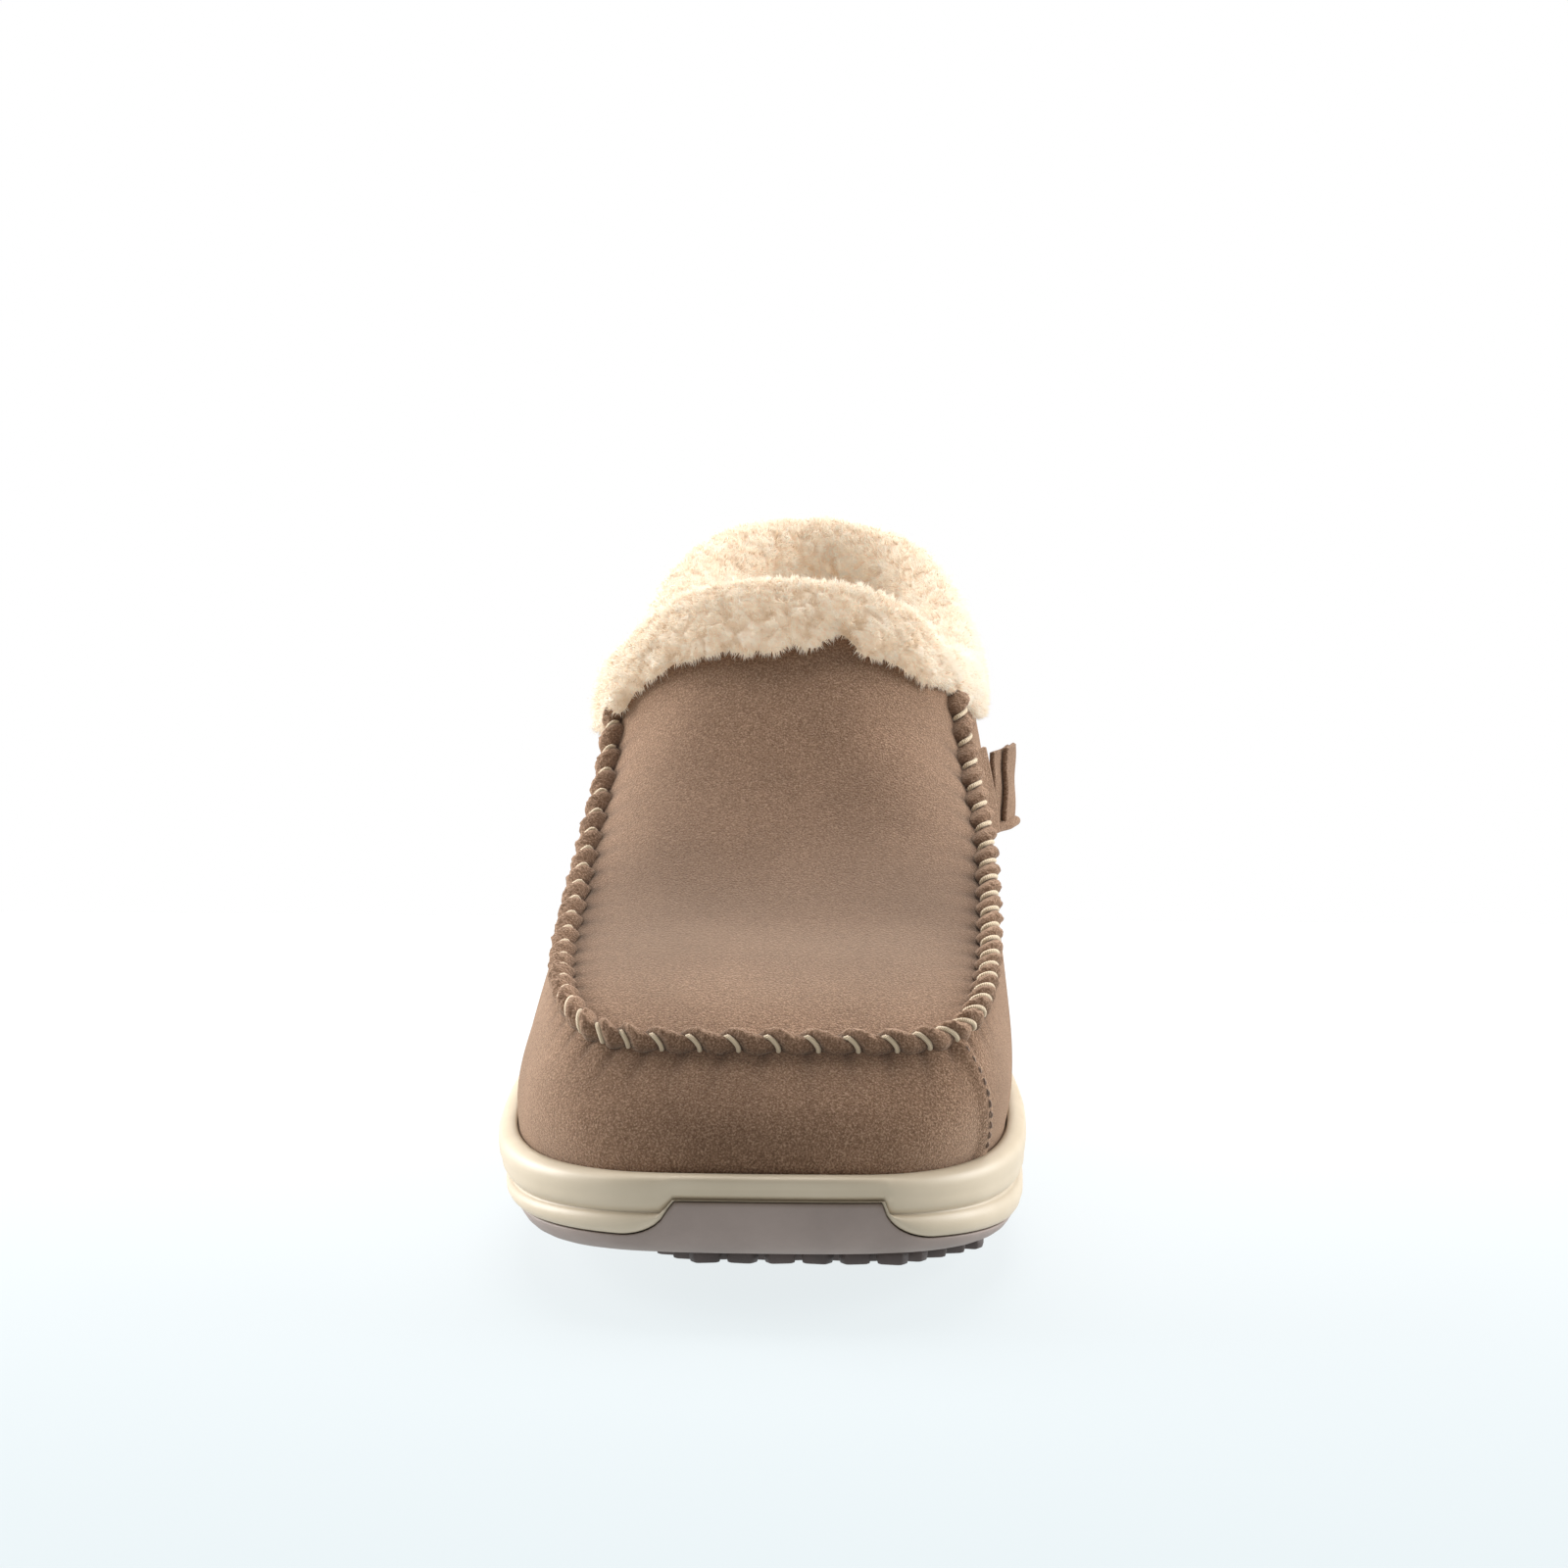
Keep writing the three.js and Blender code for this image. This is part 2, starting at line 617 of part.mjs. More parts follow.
function apronPanel(outer, inner) {
  const pointAt = (i, j) => apronPoint(2 * i - 1, j);
  const normalAt = (i, j) => apronNormal(2 * i - 1, j);
  return panelSolid(pointAt, normalAt, 12, 16, outer, inner);
}

const cornerSeam = { bottom: 0.2, top: 0.155 };
const lateralSeam = { bottom: -0.5, top: -0.46 };
const backstayHalf = 0.035;

// Frame on the apron seam: the point, the way along it, the seam's normal and the way across.
function seamFrame(u) {
  const point = topPoint(u);
  const along = topPoint(u + 0.004).sub(topPoint(u - 0.004)).normalize();
  const normal = seamNormal(u);
  const across = along.clone().cross(normal).normalize();
  return { point, normal, across };
}

const onFrame = (frame, side, up) => frame.point.clone()
  .addScaledVector(frame.across, side)
  .addScaledVector(frame.normal, up);

const seamEnd = mouthAt - 0.042; // the ridge ends at the cuff's lower edge

function makeRidge() {
  const sections = [];
  const steps = 72;
  for (let k = 0; k <= steps; k += 1) {
    const frame = seamFrame(lerp(-seamEnd, seamEnd, k / steps));
    const arc = [];
    for (let i = 0; i <= 5; i += 1) {
      const a = (i / 5) * Math.PI;
      const up = clearance + 0.5 + ridgeHeight * Math.sin(a) * 0.8;
      arc.push(onFrame(frame, (ridgeWidth / 2) * Math.cos(a), up));
    }
    sections.push(arc);
  }
  return sweepSolid(sections, false);
}

// Small square tube along a list of frames' points.
function threadSolid(points, size) {
  const path = new THREE.CatmullRomCurve3(points, false, 'centripetal', 0.5);
  const section = new THREE.Shape();
  const half = size / 2;
  section.moveTo(-half, 0).lineTo(0, -half).lineTo(half, 0).lineTo(0, half).closePath();
  const steps = points.length - 1;
  return new THREE.ExtrudeGeometry(section, { steps, extrudePath: path, bevelEnabled: false });
}

// The lacing thread crosses the ridge at each stitch and steps forward on either side of it.
function makeWhipstitch() {
  const length = seamLength();
  const count = Math.round(length / stitchPitch);
  const points = [];
  const above = clearance + 0.5 + ridgeHeight * 0.8 + threadSize;
  const beside = ridgeWidth / 2 + threadSize * 0.8;
  for (let k = 0; k < count; k += 1) {
    const side = k % 2 === 0 ? 1 : -1;
    const u = lerp(-seamEnd + 0.01, seamEnd - 0.01, k / (count - 1));
    const frame = seamFrame(u);
    points.push(onFrame(frame, side * beside, clearance + 1.3));
    points.push(onFrame(frame, side * ridgeWidth * 0.32, above));
    points.push(onFrame(frame, -side * ridgeWidth * 0.32, above));
    points.push(onFrame(frame, -side * beside, clearance + 1.3));
  }
  return threadSolid(points, threadSize);
}

function seamLength() {
  let length = 0;
  const steps = 120;
  for (let k = 0; k < steps; k += 1) {
    const from = topPoint(lerp(-seamEnd, seamEnd, k / steps));
    length += from.distanceTo(topPoint(lerp(-seamEnd, seamEnd, (k + 1) / steps)));
  }
  return length;
}

// Fine thread lying on the wall along one line of it.
function wallThread(stationAt, low, high, steps, height) {
  const points = [];
  for (let k = 0; k <= steps; k += 1) {
    const v = lerp(low, high, k / steps);
    const u = stationAt(v);
    points.push(wallPoint(u, v).addScaledVector(wallNormal(u, v), height));
  }
  return threadSolid(points, fineThread);
}

// ---- Cuff --------------------------------------------------------------------------------
// Frames round the mouth: the suede's edge, its outward normal and the way down its outside.
function mouthFrames() {
  const corner = (u) => {
    const down = topPoint(u * 0.93).sub(topPoint(u)).normalize();
    return { point: topPoint(u), normal: seamNormal(u), down };
  };
  const frames = [corner(-mouthAt)];
  const front = 10;
  for (let k = 0; k < front; k += 1) {
    const a = lerp(-0.88, 0.88, k / (front - 1));
    const down = apronPoint(a, 0.9).sub(apronPoint(a, 1)).normalize();
    frames.push({ point: apronPoint(a, 1), normal: apronFace(a, 0.97), down });
  }
  frames.push(corner(mouthAt));
  const rear = 32;
  const margin = 0.025; // keeps clear of the corners
  for (let k = 0; k <= rear; k += 1) {
    const u = wrap(lerp(mouthAt + margin, 2 - mouthAt - margin, k / rear));
    const down = wallPoint(u, 0.8).sub(wallPoint(u, 1)).normalize();
    frames.push({ point: wallPoint(u, 1), normal: wallFace(u, 0.95), down });
  }
  return frames;
}

// Average each frame with its neighbours, so that the cuff turns evenly at the mouth's corners.
function evenFrames(frames, rounds) {
  let list = frames;
  for (let r = 0; r < rounds; r += 1) {
    list = list.map((frame, i) => {
      const before = list[(i + list.length - 1) % list.length];
      const after = list[(i + 1) % list.length];
      const mix = (key) => before[key].clone().add(after[key]).addScaledVector(frame[key], 2);
      const down = mix('down').normalize();
      const normal = mix('normal');
      normal.addScaledVector(down, -normal.dot(down)).normalize();
      return { point: frame.point, normal, down };
    });
  }
  return list;
}

function makeCuff() {
  const inner = -(upperDepth + cuffLift);
  const profile = [
    [cuffLift, cuffDrop],
    [cuffThickness * 0.75, cuffDrop],
    [cuffThickness + 0.5, cuffDrop * 0.6],
    [cuffThickness, -cuffRise * 0.3],
    [cuffThickness * 0.45, -cuffRise],
    [inner * 0.6, -cuffRise],
    [inner - 2.6, -cuffRise * 0.4],
    [inner - 2.2, cuffInside],
    [inner, cuffInside],
    [inner, -clearance - 0.5],
    [cuffLift, -clearance - 0.5],
  ];
  const sections = evenFrames(mouthFrames(), 1).map((frame) => profile.map(([out, down]) => (
    frame.point.clone().addScaledVector(frame.normal, out).addScaledVector(frame.down, down)
  )));
  return sweepSolid(sections, true);
}

// ---- Side tab ----------------------------------------------------------------------------
// Share of the wall's height at which it reaches a given z.
function wallHeightShare(u, z) {
  let v = 0.5;
  for (let k = 0; k < 20; k += 1) v += (z - wallPoint(u, v).z) / 90;
  return v;
}

// Strip sewn flat to the quarter, just in front of the tab's hinge line.
function makeTabRoot() {
  const place = (i, j) => {
    const u = tabHingeStation + tabRootSpan * (i - 1);
    return [u, wallHeightShare(u, tabMiddle + tabHeight * (j - 0.5))];
  };
  const pointAt = (i, j) => wallPoint(...place(i, j));
  const normalAt = (i, j) => wallNormal(...place(i, j));
  return panelSolid(pointAt, normalAt, 2, 4, -tabRootThickness - fitGap, -fitGap);
}

function tabFrame() {
  const v = wallHeightShare(tabHingeStation, tabMiddle);
  const point = wallPoint(tabHingeStation, v);
  const normal = wallNormal(tabHingeStation, v).setZ(0).normalize();
  const rear = new THREE.Vector3(-normal.y, normal.x, 0);
  return { point, normal, rear };
}

function makeTab() {
  const { point, normal, rear } = tabFrame();
  const turn = THREE.MathUtils.degToRad(tabAngle);
  const along = rear.clone().multiplyScalar(Math.cos(turn)).addScaledVector(normal, Math.sin(turn));
  const out = normal.clone().multiplyScalar(Math.cos(turn)).addScaledVector(rear, -Math.sin(turn));
  const bow = 0.6; // its slight outward curve
  const pointAt = (i, j) => {
    const place = point.clone().addScaledVector(normal, tabLift).addScaledVector(along, tabLength * i);
    place.addScaledVector(out, bow * Math.sin(Math.PI * i));
    return place.add(new THREE.Vector3(0, 0, tabHeight * (j - 0.5)));
  };
  return panelSolid(pointAt, fixed(out), 6, 4, -tabThickness, 0);
}

// ---- Assembly ----------------------------------------------------------------------------
const finishes = {
  suedeBrown: { color: 0x9b7a63, roughness: 0.95 },
  fleeceCream: { color: 0xe8d9c2, roughness: 1 },
  foamCream: { color: 0xd9cdb8, roughness: 0.7 },
  rubberTaupe: { color: 0x8b7f79, roughness: 0.75 },
  rubberDark: { color: 0x4a403c, roughness: 0.8 },
  threadCream: { color: 0xd8c7a6, roughness: 0.8 },
  threadBrown: { color: 0x7d6350, roughness: 0.85 },
  boardTan: { color: 0xb59a74, roughness: 0.9 },
  foamGrey: { color: 0x9aa0a3, roughness: 0.95 },
  stiffenerWhite: { color: 0xd8d6cf, roughness: 0.8 },
};

const group = new THREE.Group();

function add(name, finish, geometry) {
  const material = new THREE.MeshStandardMaterial({ ...finishes[finish], metalness: 0 });
  const mesh = new THREE.Mesh(geometry, material);
  mesh.name = name;
  group.add(mesh);
}

const suedeLayer = { outer: 0, inner: suede };
const stiffLayer = { outer: suede + layerGap, inner: suede + layerGap + stiffener };
const fleeceLayer = { outer: liningDepth, inner: upperDepth };

add('outsole', 'rubberTaupe', makeOutsole());
add('forefoot_tread', 'rubberDark', makeTread(forefootTread));
add('heel_tread', 'rubberDark', makeTread(heelTread));
add('midsole', 'foamCream', makeMidsole());
add('insole_board', 'boardTan', makeBedLayer(fitGap, boardThickness));
add('footbed_foam', 'foamGrey', makeBedLayer(2 * fitGap + boardThickness, foamThickness));
add('footbed_sock', 'fleeceCream', makeBedLayer(sockBase, sockThickness));

add('vamp', 'suedeBrown', wallPanel({
  from: lateralSeam.bottom, fromTop: lateralSeam.top, to: cornerSeam.bottom, toTop: cornerSeam.top,
  columns: 30, rows: 8, ...suedeLayer,
}));
add('medial_quarter', 'suedeBrown', wallPanel({
  from: cornerSeam.bottom, fromTop: cornerSeam.top, to: 1, columns: 28, rows: 9, ...suedeLayer,
}));
add('lateral_quarter', 'suedeBrown', wallPanel({
  from: -1, to: lateralSeam.bottom, toTop: lateralSeam.top, columns: 18, rows: 9, ...suedeLayer,
}));
add('backstay', 'suedeBrown', wallPanel({
  from: 1 - backstayHalf, to: 1 + backstayHalf, low: rimStep + 0.02, high: 0.8,
  columns: 4, rows: 8, outer: -suede - clearance, inner: -clearance,
}));
add('apron', 'suedeBrown', apronPanel(0, suede));
add('seam_ridge', 'suedeBrown', makeRidge());
add('whipstitch_thread', 'threadCream', makeWhipstitch());
const cornerStitch = (v) => lerp(cornerSeam.bottom, cornerSeam.top, v) - 0.006;
add('corner_seam_thread', 'threadBrown', wallThread(cornerStitch, 0.2, 0.86, 14, clearance + fineThread / 2));
const backstayStitch = (side) => () => wrap(1 + side * (backstayHalf - 0.01));
const overBackstay = suede + 2 * clearance + fineThread / 2;
add('backstay_thread_medial', 'threadBrown', wallThread(backstayStitch(-1), 0.18, 0.74, 12, overBackstay));
add('backstay_thread_lateral', 'threadBrown', wallThread(backstayStitch(1), 0.18, 0.74, 12, overBackstay));

add('toe_puff', 'stiffenerWhite', wallPanel({
  from: -0.22, to: 0.22, low: 0.03, high: 0.8, columns: 16, rows: 5, ...stiffLayer,
}));
add('heel_counter', 'stiffenerWhite', wallPanel({
  from: 0.72, to: 1.28, low: 0.03, high: 0.62, columns: 16, rows: 6, ...stiffLayer,
}));
add('toe_lining', 'fleeceCream', wallPanel({
  from: -mouthAt, to: mouthAt, columns: 30, rows: 7, ...fleeceLayer,
}));
add('apron_lining', 'fleeceCream', apronPanel(liningDepth, upperDepth));
add('medial_lining', 'fleeceCream', wallPanel({
  from: mouthAt, to: 1, columns: 16, rows: 8, ...fleeceLayer,
}));
add('lateral_lining', 'fleeceCream', wallPanel({
  from: -1, to: -mouthAt, columns: 16, rows: 8, ...fleeceLayer,
}));
add('collar_cuff', 'fleeceCream', makeCuff());

add('tab_root', 'suedeBrown', makeTabRoot());
add('side_tab', 'suedeBrown', makeTab());

export default group;
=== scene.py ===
# Right-foot moccasin: suede, shearling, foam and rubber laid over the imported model.
import json
import math

import bpy
import numpy as np
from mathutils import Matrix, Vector


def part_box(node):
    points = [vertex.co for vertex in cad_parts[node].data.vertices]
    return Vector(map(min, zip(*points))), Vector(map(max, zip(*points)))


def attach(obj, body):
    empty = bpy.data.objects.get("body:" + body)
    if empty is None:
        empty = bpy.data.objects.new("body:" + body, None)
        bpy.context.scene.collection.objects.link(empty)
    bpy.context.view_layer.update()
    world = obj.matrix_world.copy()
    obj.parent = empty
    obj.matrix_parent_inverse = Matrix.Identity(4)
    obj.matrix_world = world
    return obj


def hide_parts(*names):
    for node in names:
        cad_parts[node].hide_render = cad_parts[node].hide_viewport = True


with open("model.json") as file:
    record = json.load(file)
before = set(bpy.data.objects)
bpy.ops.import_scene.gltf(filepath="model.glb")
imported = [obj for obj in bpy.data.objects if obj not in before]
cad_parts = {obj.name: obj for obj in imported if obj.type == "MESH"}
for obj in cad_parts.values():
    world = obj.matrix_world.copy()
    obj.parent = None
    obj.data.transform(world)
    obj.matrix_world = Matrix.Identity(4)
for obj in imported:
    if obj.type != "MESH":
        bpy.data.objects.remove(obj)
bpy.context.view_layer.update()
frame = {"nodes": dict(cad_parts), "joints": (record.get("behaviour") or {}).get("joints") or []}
scene = bpy.context.scene
mm = 0.001  # everything below is worked out in millimetres
detail = 1.0

cameraRig = {"place": (45.1, -1049.1, 258.1), "turn": 2.4, "dip": 9.42, "lens": 107.24, "sensor": 36}
lights = [
    # name, place, aims at, size, power
    ("top", (0, 400, 820), (0, 0, 40), 700, 12.6),
    ("left", (-850, 220, 330), (0, 0, 60), 600, 17.0),
    ("right", (850, 160, 330), (0, 0, 60), 600, 12.5),
    ("frontHigh", (0, -500, 900), (0, 60, 80), 500, 0.7),
    ("frontLow", (-120, -960, 50), (0, -60, 50), 280, 1.1),
]
studio = {
    "sky": 0.36, "backdrop": 1.0,
    "floorNear": (0.70, 0.765, 0.785), "floorFar": (0.98, 0.98, 0.98), "floorColour": (0.06, 0.063, 0.065),
    "floorFront": -320, "floorBack": 268, "floorSpan": 1600, "floorFade": (520, 1100),
}


def makeCamera(rig):
    data = bpy.data.cameras.new("camera")
    data.lens, data.sensor_width = rig["lens"], rig["sensor"]
    data.clip_start, data.clip_end = 0.05, 50
    camera = bpy.data.objects.new("camera", data)
    scene.collection.objects.link(camera)
    turn, dip = math.radians(rig["turn"]), math.radians(rig["dip"])
    look = Vector((-math.sin(turn) * math.cos(dip), math.cos(turn) * math.cos(dip), -math.sin(dip)))
    camera.location = Vector(rig["place"]) * mm
    camera.rotation_mode = "QUATERNION"
    camera.rotation_quaternion = look.to_track_quat("-Z", "Y")
    scene.camera = camera


def makeLight(name, place, aim, size, power):
    data = bpy.data.lights.new(name, "AREA")
    data.energy, data.size = power, size * mm
    light = bpy.data.objects.new(name, data)
    scene.collection.objects.link(light)
    light.location = Vector(place) * mm
    light.rotation_mode = "QUATERNION"
    light.rotation_quaternion = (Vector(aim) - Vector(place)).to_track_quat("-Z", "Y")


def makeSky(values):
    # what the camera sees past the floor is white; the light it gives is a little lower
    world = bpy.data.worlds.new("sky")
    world.use_nodes = True
    tree = world.node_tree
    background = tree.nodes["Background"]
    background.inputs["Color"].default_value = (1, 1, 1, 1)
    seen = tree.nodes.new("ShaderNodeLightPath")
    strength = tree.nodes.new("ShaderNodeMapRange")
    strength.inputs["To Min"].default_value = values["sky"]
    strength.inputs["To Max"].default_value = values["backdrop"]
    tree.links.new(seen.outputs["Is Camera Ray"], strength.inputs["Value"])
    tree.links.new(strength.outputs["Result"], background.inputs["Strength"])
    scene.world = world


makeCamera(cameraRig)
for row in lights:
    makeLight(*row)
makeSky(studio)
scene.view_settings.view_transform = "Standard"
print("camera and lights")

# Lines of the last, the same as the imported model's. A place round the shoe is u, from 0 at the toe to 1 at
# the heel on the medial side and to -1 at the heel on the lateral side; v goes up the wall.
soleLow, soleHigh = (np.array(corner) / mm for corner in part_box("midsole"))
sole = {
    "length": soleHigh[1] - soleLow[1], "ballWidth": 112.2, "heelWidth": 84, "bottom": 2.6,
    "toeSpring": 10.6, "toeSpringLength": 110, "heelSpring": 3, "heelSpringLength": 25,
    "rimHeight": 4, "rimWidth": 1.7, "rimInset": 2.4, "skin": 3,
    "lobeStart": {"medial": 0.2, "lateral": 0.32, "ends": 0.22},
    "bumperTop": 0.665, "bumperHalf": 22, "bumperFade": 11.5, "groove": 0.53,
    "widestAt": 0.76, "undercut": {"medial": 1, "lateral": 3.6, "ends": 1},
}
outline = {
    "toeX": 5.85, "heelX": 7.3, "heelWide": 252, "heelFullness": 2.3,
    "medial": {"edge": sole["ballWidth"] / 2, "ball": 70, "fullness": 2.7, "waist": 5},
    "lateral": {"edge": -sole["ballWidth"] / 2, "ball": 86, "fullness": 3, "waist": -2},
}
upper = {
    "gap": 0.3, "suede": 1.5, "layerGap": 0.6, "stiffener": 0.9, "fleece": 2.4,
    "rimStep": 0.12, "mouthForward": 11, "mouthArch": 18.5,
}
liningDepth = upper["suede"] + 2 * upper["layerGap"] + upper["stiffener"]
upperDepth = liningDepth + upper["fleece"]
wallInset = sole["rimInset"] + sole["rimWidth"] + upper["gap"]
bedInset = wallInset + upperDepth + upper["gap"]

ballEnd, heelBegin, mouthAt, cornerAt = 0.3, 0.8, 0.52, 0.15
wallLength = 340  # mm along the wall to one unit of u

# u, distance from the toe, height, lateral x, medial x
topLine = [
    [0, 19.5, 52.3, 5.9, 5.9], [0.05, 19.6, 52.3, -9.5, 21], [0.1, 20.8, 52.6, -23, 33.5],
    [0.15, 24, 53.8, -31.5, 40.5], [0.2, 31, 56.3, -36.5, 44.5], [0.25, 43.5, 58.9, -39.8, 46.5],
    [0.3, 62, 62.1, -41, 47.3], [0.36, 88, 69.7, -40.2, 47], [0.42, 111, 79.3, -38.5, 45.8],
    [0.47, 131, 91.5, -36.4, 42.3], [0.52, 150, 108, -35, 38.8], [0.6, 177, 103.5, -35.3, 42.2],
    [0.68, 204, 101, -32.2, 42.2], [0.76, 232, 106, -28, 39.7], [0.84, 257, 114, -22.3, 35],
    [0.92, 275.5, 121, -10.5, 24.5], [1, 284, 124.5, 7.3, 7.3],
]
rimLine = [[0, 30], [8, 28.6], [25, 27.8], [60, 27.4], [90, 27.8], [150, 31], [220, 35], [300, 37.5]]
spine = [[19.5, 52.3], [32, 58.5], [48, 63.5], [68, 68.5], [88, 78], [108, 94], [124, 111], [139, 126.5]]
bulge = [[0, 5], [0.15, 4.5], [0.3, 3], [0.5, 4], [0.7, 4.5], [1, 3.5]]


def through(rows, at, column=1, levelEnds=False):
    # cubic through the rows; each slope is its neighbours' rise over run, level at the ends if asked
    table = np.asarray(rows, float)
    x, y = table[:, 0], table[:, column]
    slope = np.gradient(y, x)
    slope[1:-1] = (y[2:] - y[:-2]) / (x[2:] - x[:-2])
    if levelEnds:
        slope[0] = slope[-1] = 0
    at = np.clip(at, x[0], x[-1])
    k = np.clip(np.searchsorted(x, at, side="left") - 1, 0, len(x) - 2)
    span, rise = x[k + 1] - x[k], y[k + 1] - y[k]
    t = (at - x[k]) / span
    bend = (slope[k] * span - rise) * (1 - t) + (rise - slope[k + 1] * span) * t
    return y[k] + rise * t + t * (1 - t) * bend


def mix(a, b, t):
    # straight from a at 0 to b at 1
    return a + (b - a) * t


def ease(x, low, high):
    # 3t^2 - 2t^3 between low and high
    t = np.clip((x - low) / (high - low), 0, 1)
    return t * t * (3 - 2 * t)


def unit(vectors):
    # each vector over its length
    return vectors / np.maximum(np.linalg.norm(vectors, axis=-1, keepdims=True), 1e-9)


def wrap(u):
    # brought between -1 and 1 by whole turns
    return (np.asarray(u, float) + 1) % 2 - 1


def outlinePoint(u):
    # superellipse quarters at the toe and the heel, joined on each side by an S-curve drawn in at the waist
    u = wrap(u)
    along = np.abs(u)
    lateral, medial = outline["lateral"], outline["medial"]
    side = {key: np.where(u < 0, lateral[key], medial[key]) for key in medial}
    heelEdge = outline["heelX"] + np.sign(side["edge"]) * sole["heelWidth"] / 2
    a = np.clip(along / ballEnd, 0, 1) * np.pi / 2
    toeTurn = 2 / side["fullness"]
    toeX = outline["toeX"] + (side["edge"] - outline["toeX"]) * np.sin(a) ** toeTurn
    toeS = side["ball"] * (1 - np.maximum(np.cos(a), 0) ** toeTurn)
    w = np.clip((along - ballEnd) / (heelBegin - ballEnd), 0, 1)
    sideX = mix(side["edge"], heelEdge, ease(w, 0, 1)) - side["waist"] * np.sin(np.pi * w) ** 2
    sideS = mix(side["ball"], outline["heelWide"], w)
    c = np.clip((along - heelBegin) / (1 - heelBegin), 0, 1) * np.pi / 2
    heelTurn = 2 / outline["heelFullness"]
    heelX = outline["heelX"] + (heelEdge - outline["heelX"]) * np.maximum(np.cos(c), 0) ** heelTurn
    heelS = outline["heelWide"] + (sole["length"] - outline["heelWide"]) * np.sin(c) ** heelTurn
    x = np.where(along < ballEnd, toeX, np.where(along < heelBegin, sideX, heelX))
    s = np.where(along < ballEnd, toeS, np.where(along < heelBegin, sideS, heelS))
    return np.stack([x, s - sole["length"] / 2], -1)


def outward(u):
    # the outline's direction over a short stretch, turned a quarter
    along = unit(outlinePoint(u + 0.012) - outlinePoint(u - 0.012))
    return np.stack([along[..., 1], -along[..., 0]], -1)


def insetPoint(u, inset):
    # the outline moved inwards
    return outlinePoint(u) - outward(u) * np.asarray(inset)[..., None]


def underside(y):
    # level, with a parabola up to the toe and another up to the heel
    s = y + sole["length"] / 2
    toe = np.clip(1 - s / sole["toeSpringLength"], 0, 1.1)
    heel = np.clip((s - sole["length"] + sole["heelSpringLength"]) / sole["heelSpringLength"], 0, 1)
    return sole["bottom"] + sole["toeSpring"] * toe**2 + sole["heelSpring"] * heel**2


def rim(y):
    # cubic through the rim's heights
    return through(rimLine, y + sole["length"] / 2)


def floorOf(y):
    # the rim less its height
    return rim(y) - sole["rimHeight"]


def soleHeight(y, part):
    # straight from the underside at 0 to the rim at 1
    return mix(underside(y), rim(y), part)


def sideValue(values, u):
    # one value at the toe and the heel, eased to another along each side
    along = np.abs(wrap(u))
    share = ease(along, 0, ballEnd) * (1 - ease(along, heelBegin, 1))
    return mix(values["ends"], np.where(wrap(u) < 0, values["lateral"], values["medial"]), share)


def parting(u):
    # the rubber's upper edge: low along the sides, up a quarter ellipse to the bumper's top at the toe
    x = np.abs(outlinePoint(u)[..., 0] - outline["toeX"])
    rise = np.clip((sole["bumperHalf"] + sole["bumperFade"] - x) / sole["bumperFade"], 0, 1)
    lift = np.where(np.abs(wrap(u)) < ballEnd, 1 - np.sqrt(1 - rise**2), 0)
    return mix(sideValue(sole["lobeStart"], u), sole["bumperTop"], lift)


def grooveLine(u):
    # the groove's own height, or just over the rubber where that is higher
    return np.maximum(sole["groove"], parting(u) + 0.03)


def topPoint(u):
    # cubics through the top line's rows, with the lateral x where u is negative
    along = np.abs(u)
    s = through(topLine, along, 1, True)
    x = np.where(u < 0, through(topLine, along, 3), through(topLine, along, 4))
    return np.stack([x, s - sole["length"] / 2, through(topLine, along, 2, True)], -1)


def wallPoint(u, v):
    # upright inside the rim, then straight to the top line with a parabolic bulge outwards
    u, v = np.broadcast_arrays(wrap(u), np.asarray(v, float))
    foot = insetPoint(u, np.full(u.shape, wallInset))
    low, high = floorOf(foot[..., 1]) + upper["gap"], rim(foot[..., 1]) + upper["gap"]
    step = upper["rimStep"]
    w = np.clip((v - step) / (1 - step), 0, 1)
    z = np.where(v < step, mix(low, high, v / step), high)
    point = mix(np.concatenate([foot, z[..., None]], -1), topPoint(u), w[..., None])
    point[..., :2] += outward(u) * (through(bulge, np.abs(u)) * 4 * w * (1 - w))[..., None]
    return point


def mouthPoint(a):
    # straight from corner to corner of the mouth, pushed forward and arched by 1 - |a|^3
    t = ((a + 1) / 2)[..., None]
    corner = np.array([mouthAt])
    point = mix(topPoint(-corner), topPoint(corner), t)
    arch = 1 - np.abs(a) ** 3
    point[..., 1] -= upper["mouthForward"] * arch
    point[..., 2] += upper["mouthArch"] * arch
    return point


def flatApron(a, b):
    # Coons patch: blend across, plus blend along, less the blend of the four corners
    a, b = np.broadcast_arrays(np.asarray(a, float), np.asarray(b, float))
    t, along = ((a + 1) / 2)[..., None], b[..., None]
    side = mix(cornerAt, mouthAt, b)
    front, back = np.array([cornerAt]), np.array([1.0])
    blend = mix(topPoint(a * cornerAt), mouthPoint(a), along) + mix(topPoint(-side), topPoint(side), t)
    frontCorners = mix(topPoint(-front), topPoint(front), t)
    return blend - mix(frontCorners, mix(mouthPoint(-back), mouthPoint(back), t), along)


def apronPoint(a, b):
    # the flat patch crowned by 1 - a^2 up to the spine
    point = flatApron(a, b)
    middle = flatApron(np.zeros_like(point[..., 0]), b)
    crown = through(spine, middle[..., 1] + sole["length"] / 2) - middle[..., 2]
    point[..., 2] += crown * (1 - np.asarray(a) ** 2)
    return point


def normalOf(surface, p, q, lowQ, highQ, lowP=-9, highP=9, step=0.01):
    # cross product of short steps along both directions
    alongP = surface(np.minimum(p + step, highP), q) - surface(np.maximum(p - step, lowP), q)
    alongQ = surface(p, np.minimum(q + step, highQ)) - surface(p, np.maximum(q - step, lowQ))
    return unit(np.cross(alongP, alongQ))


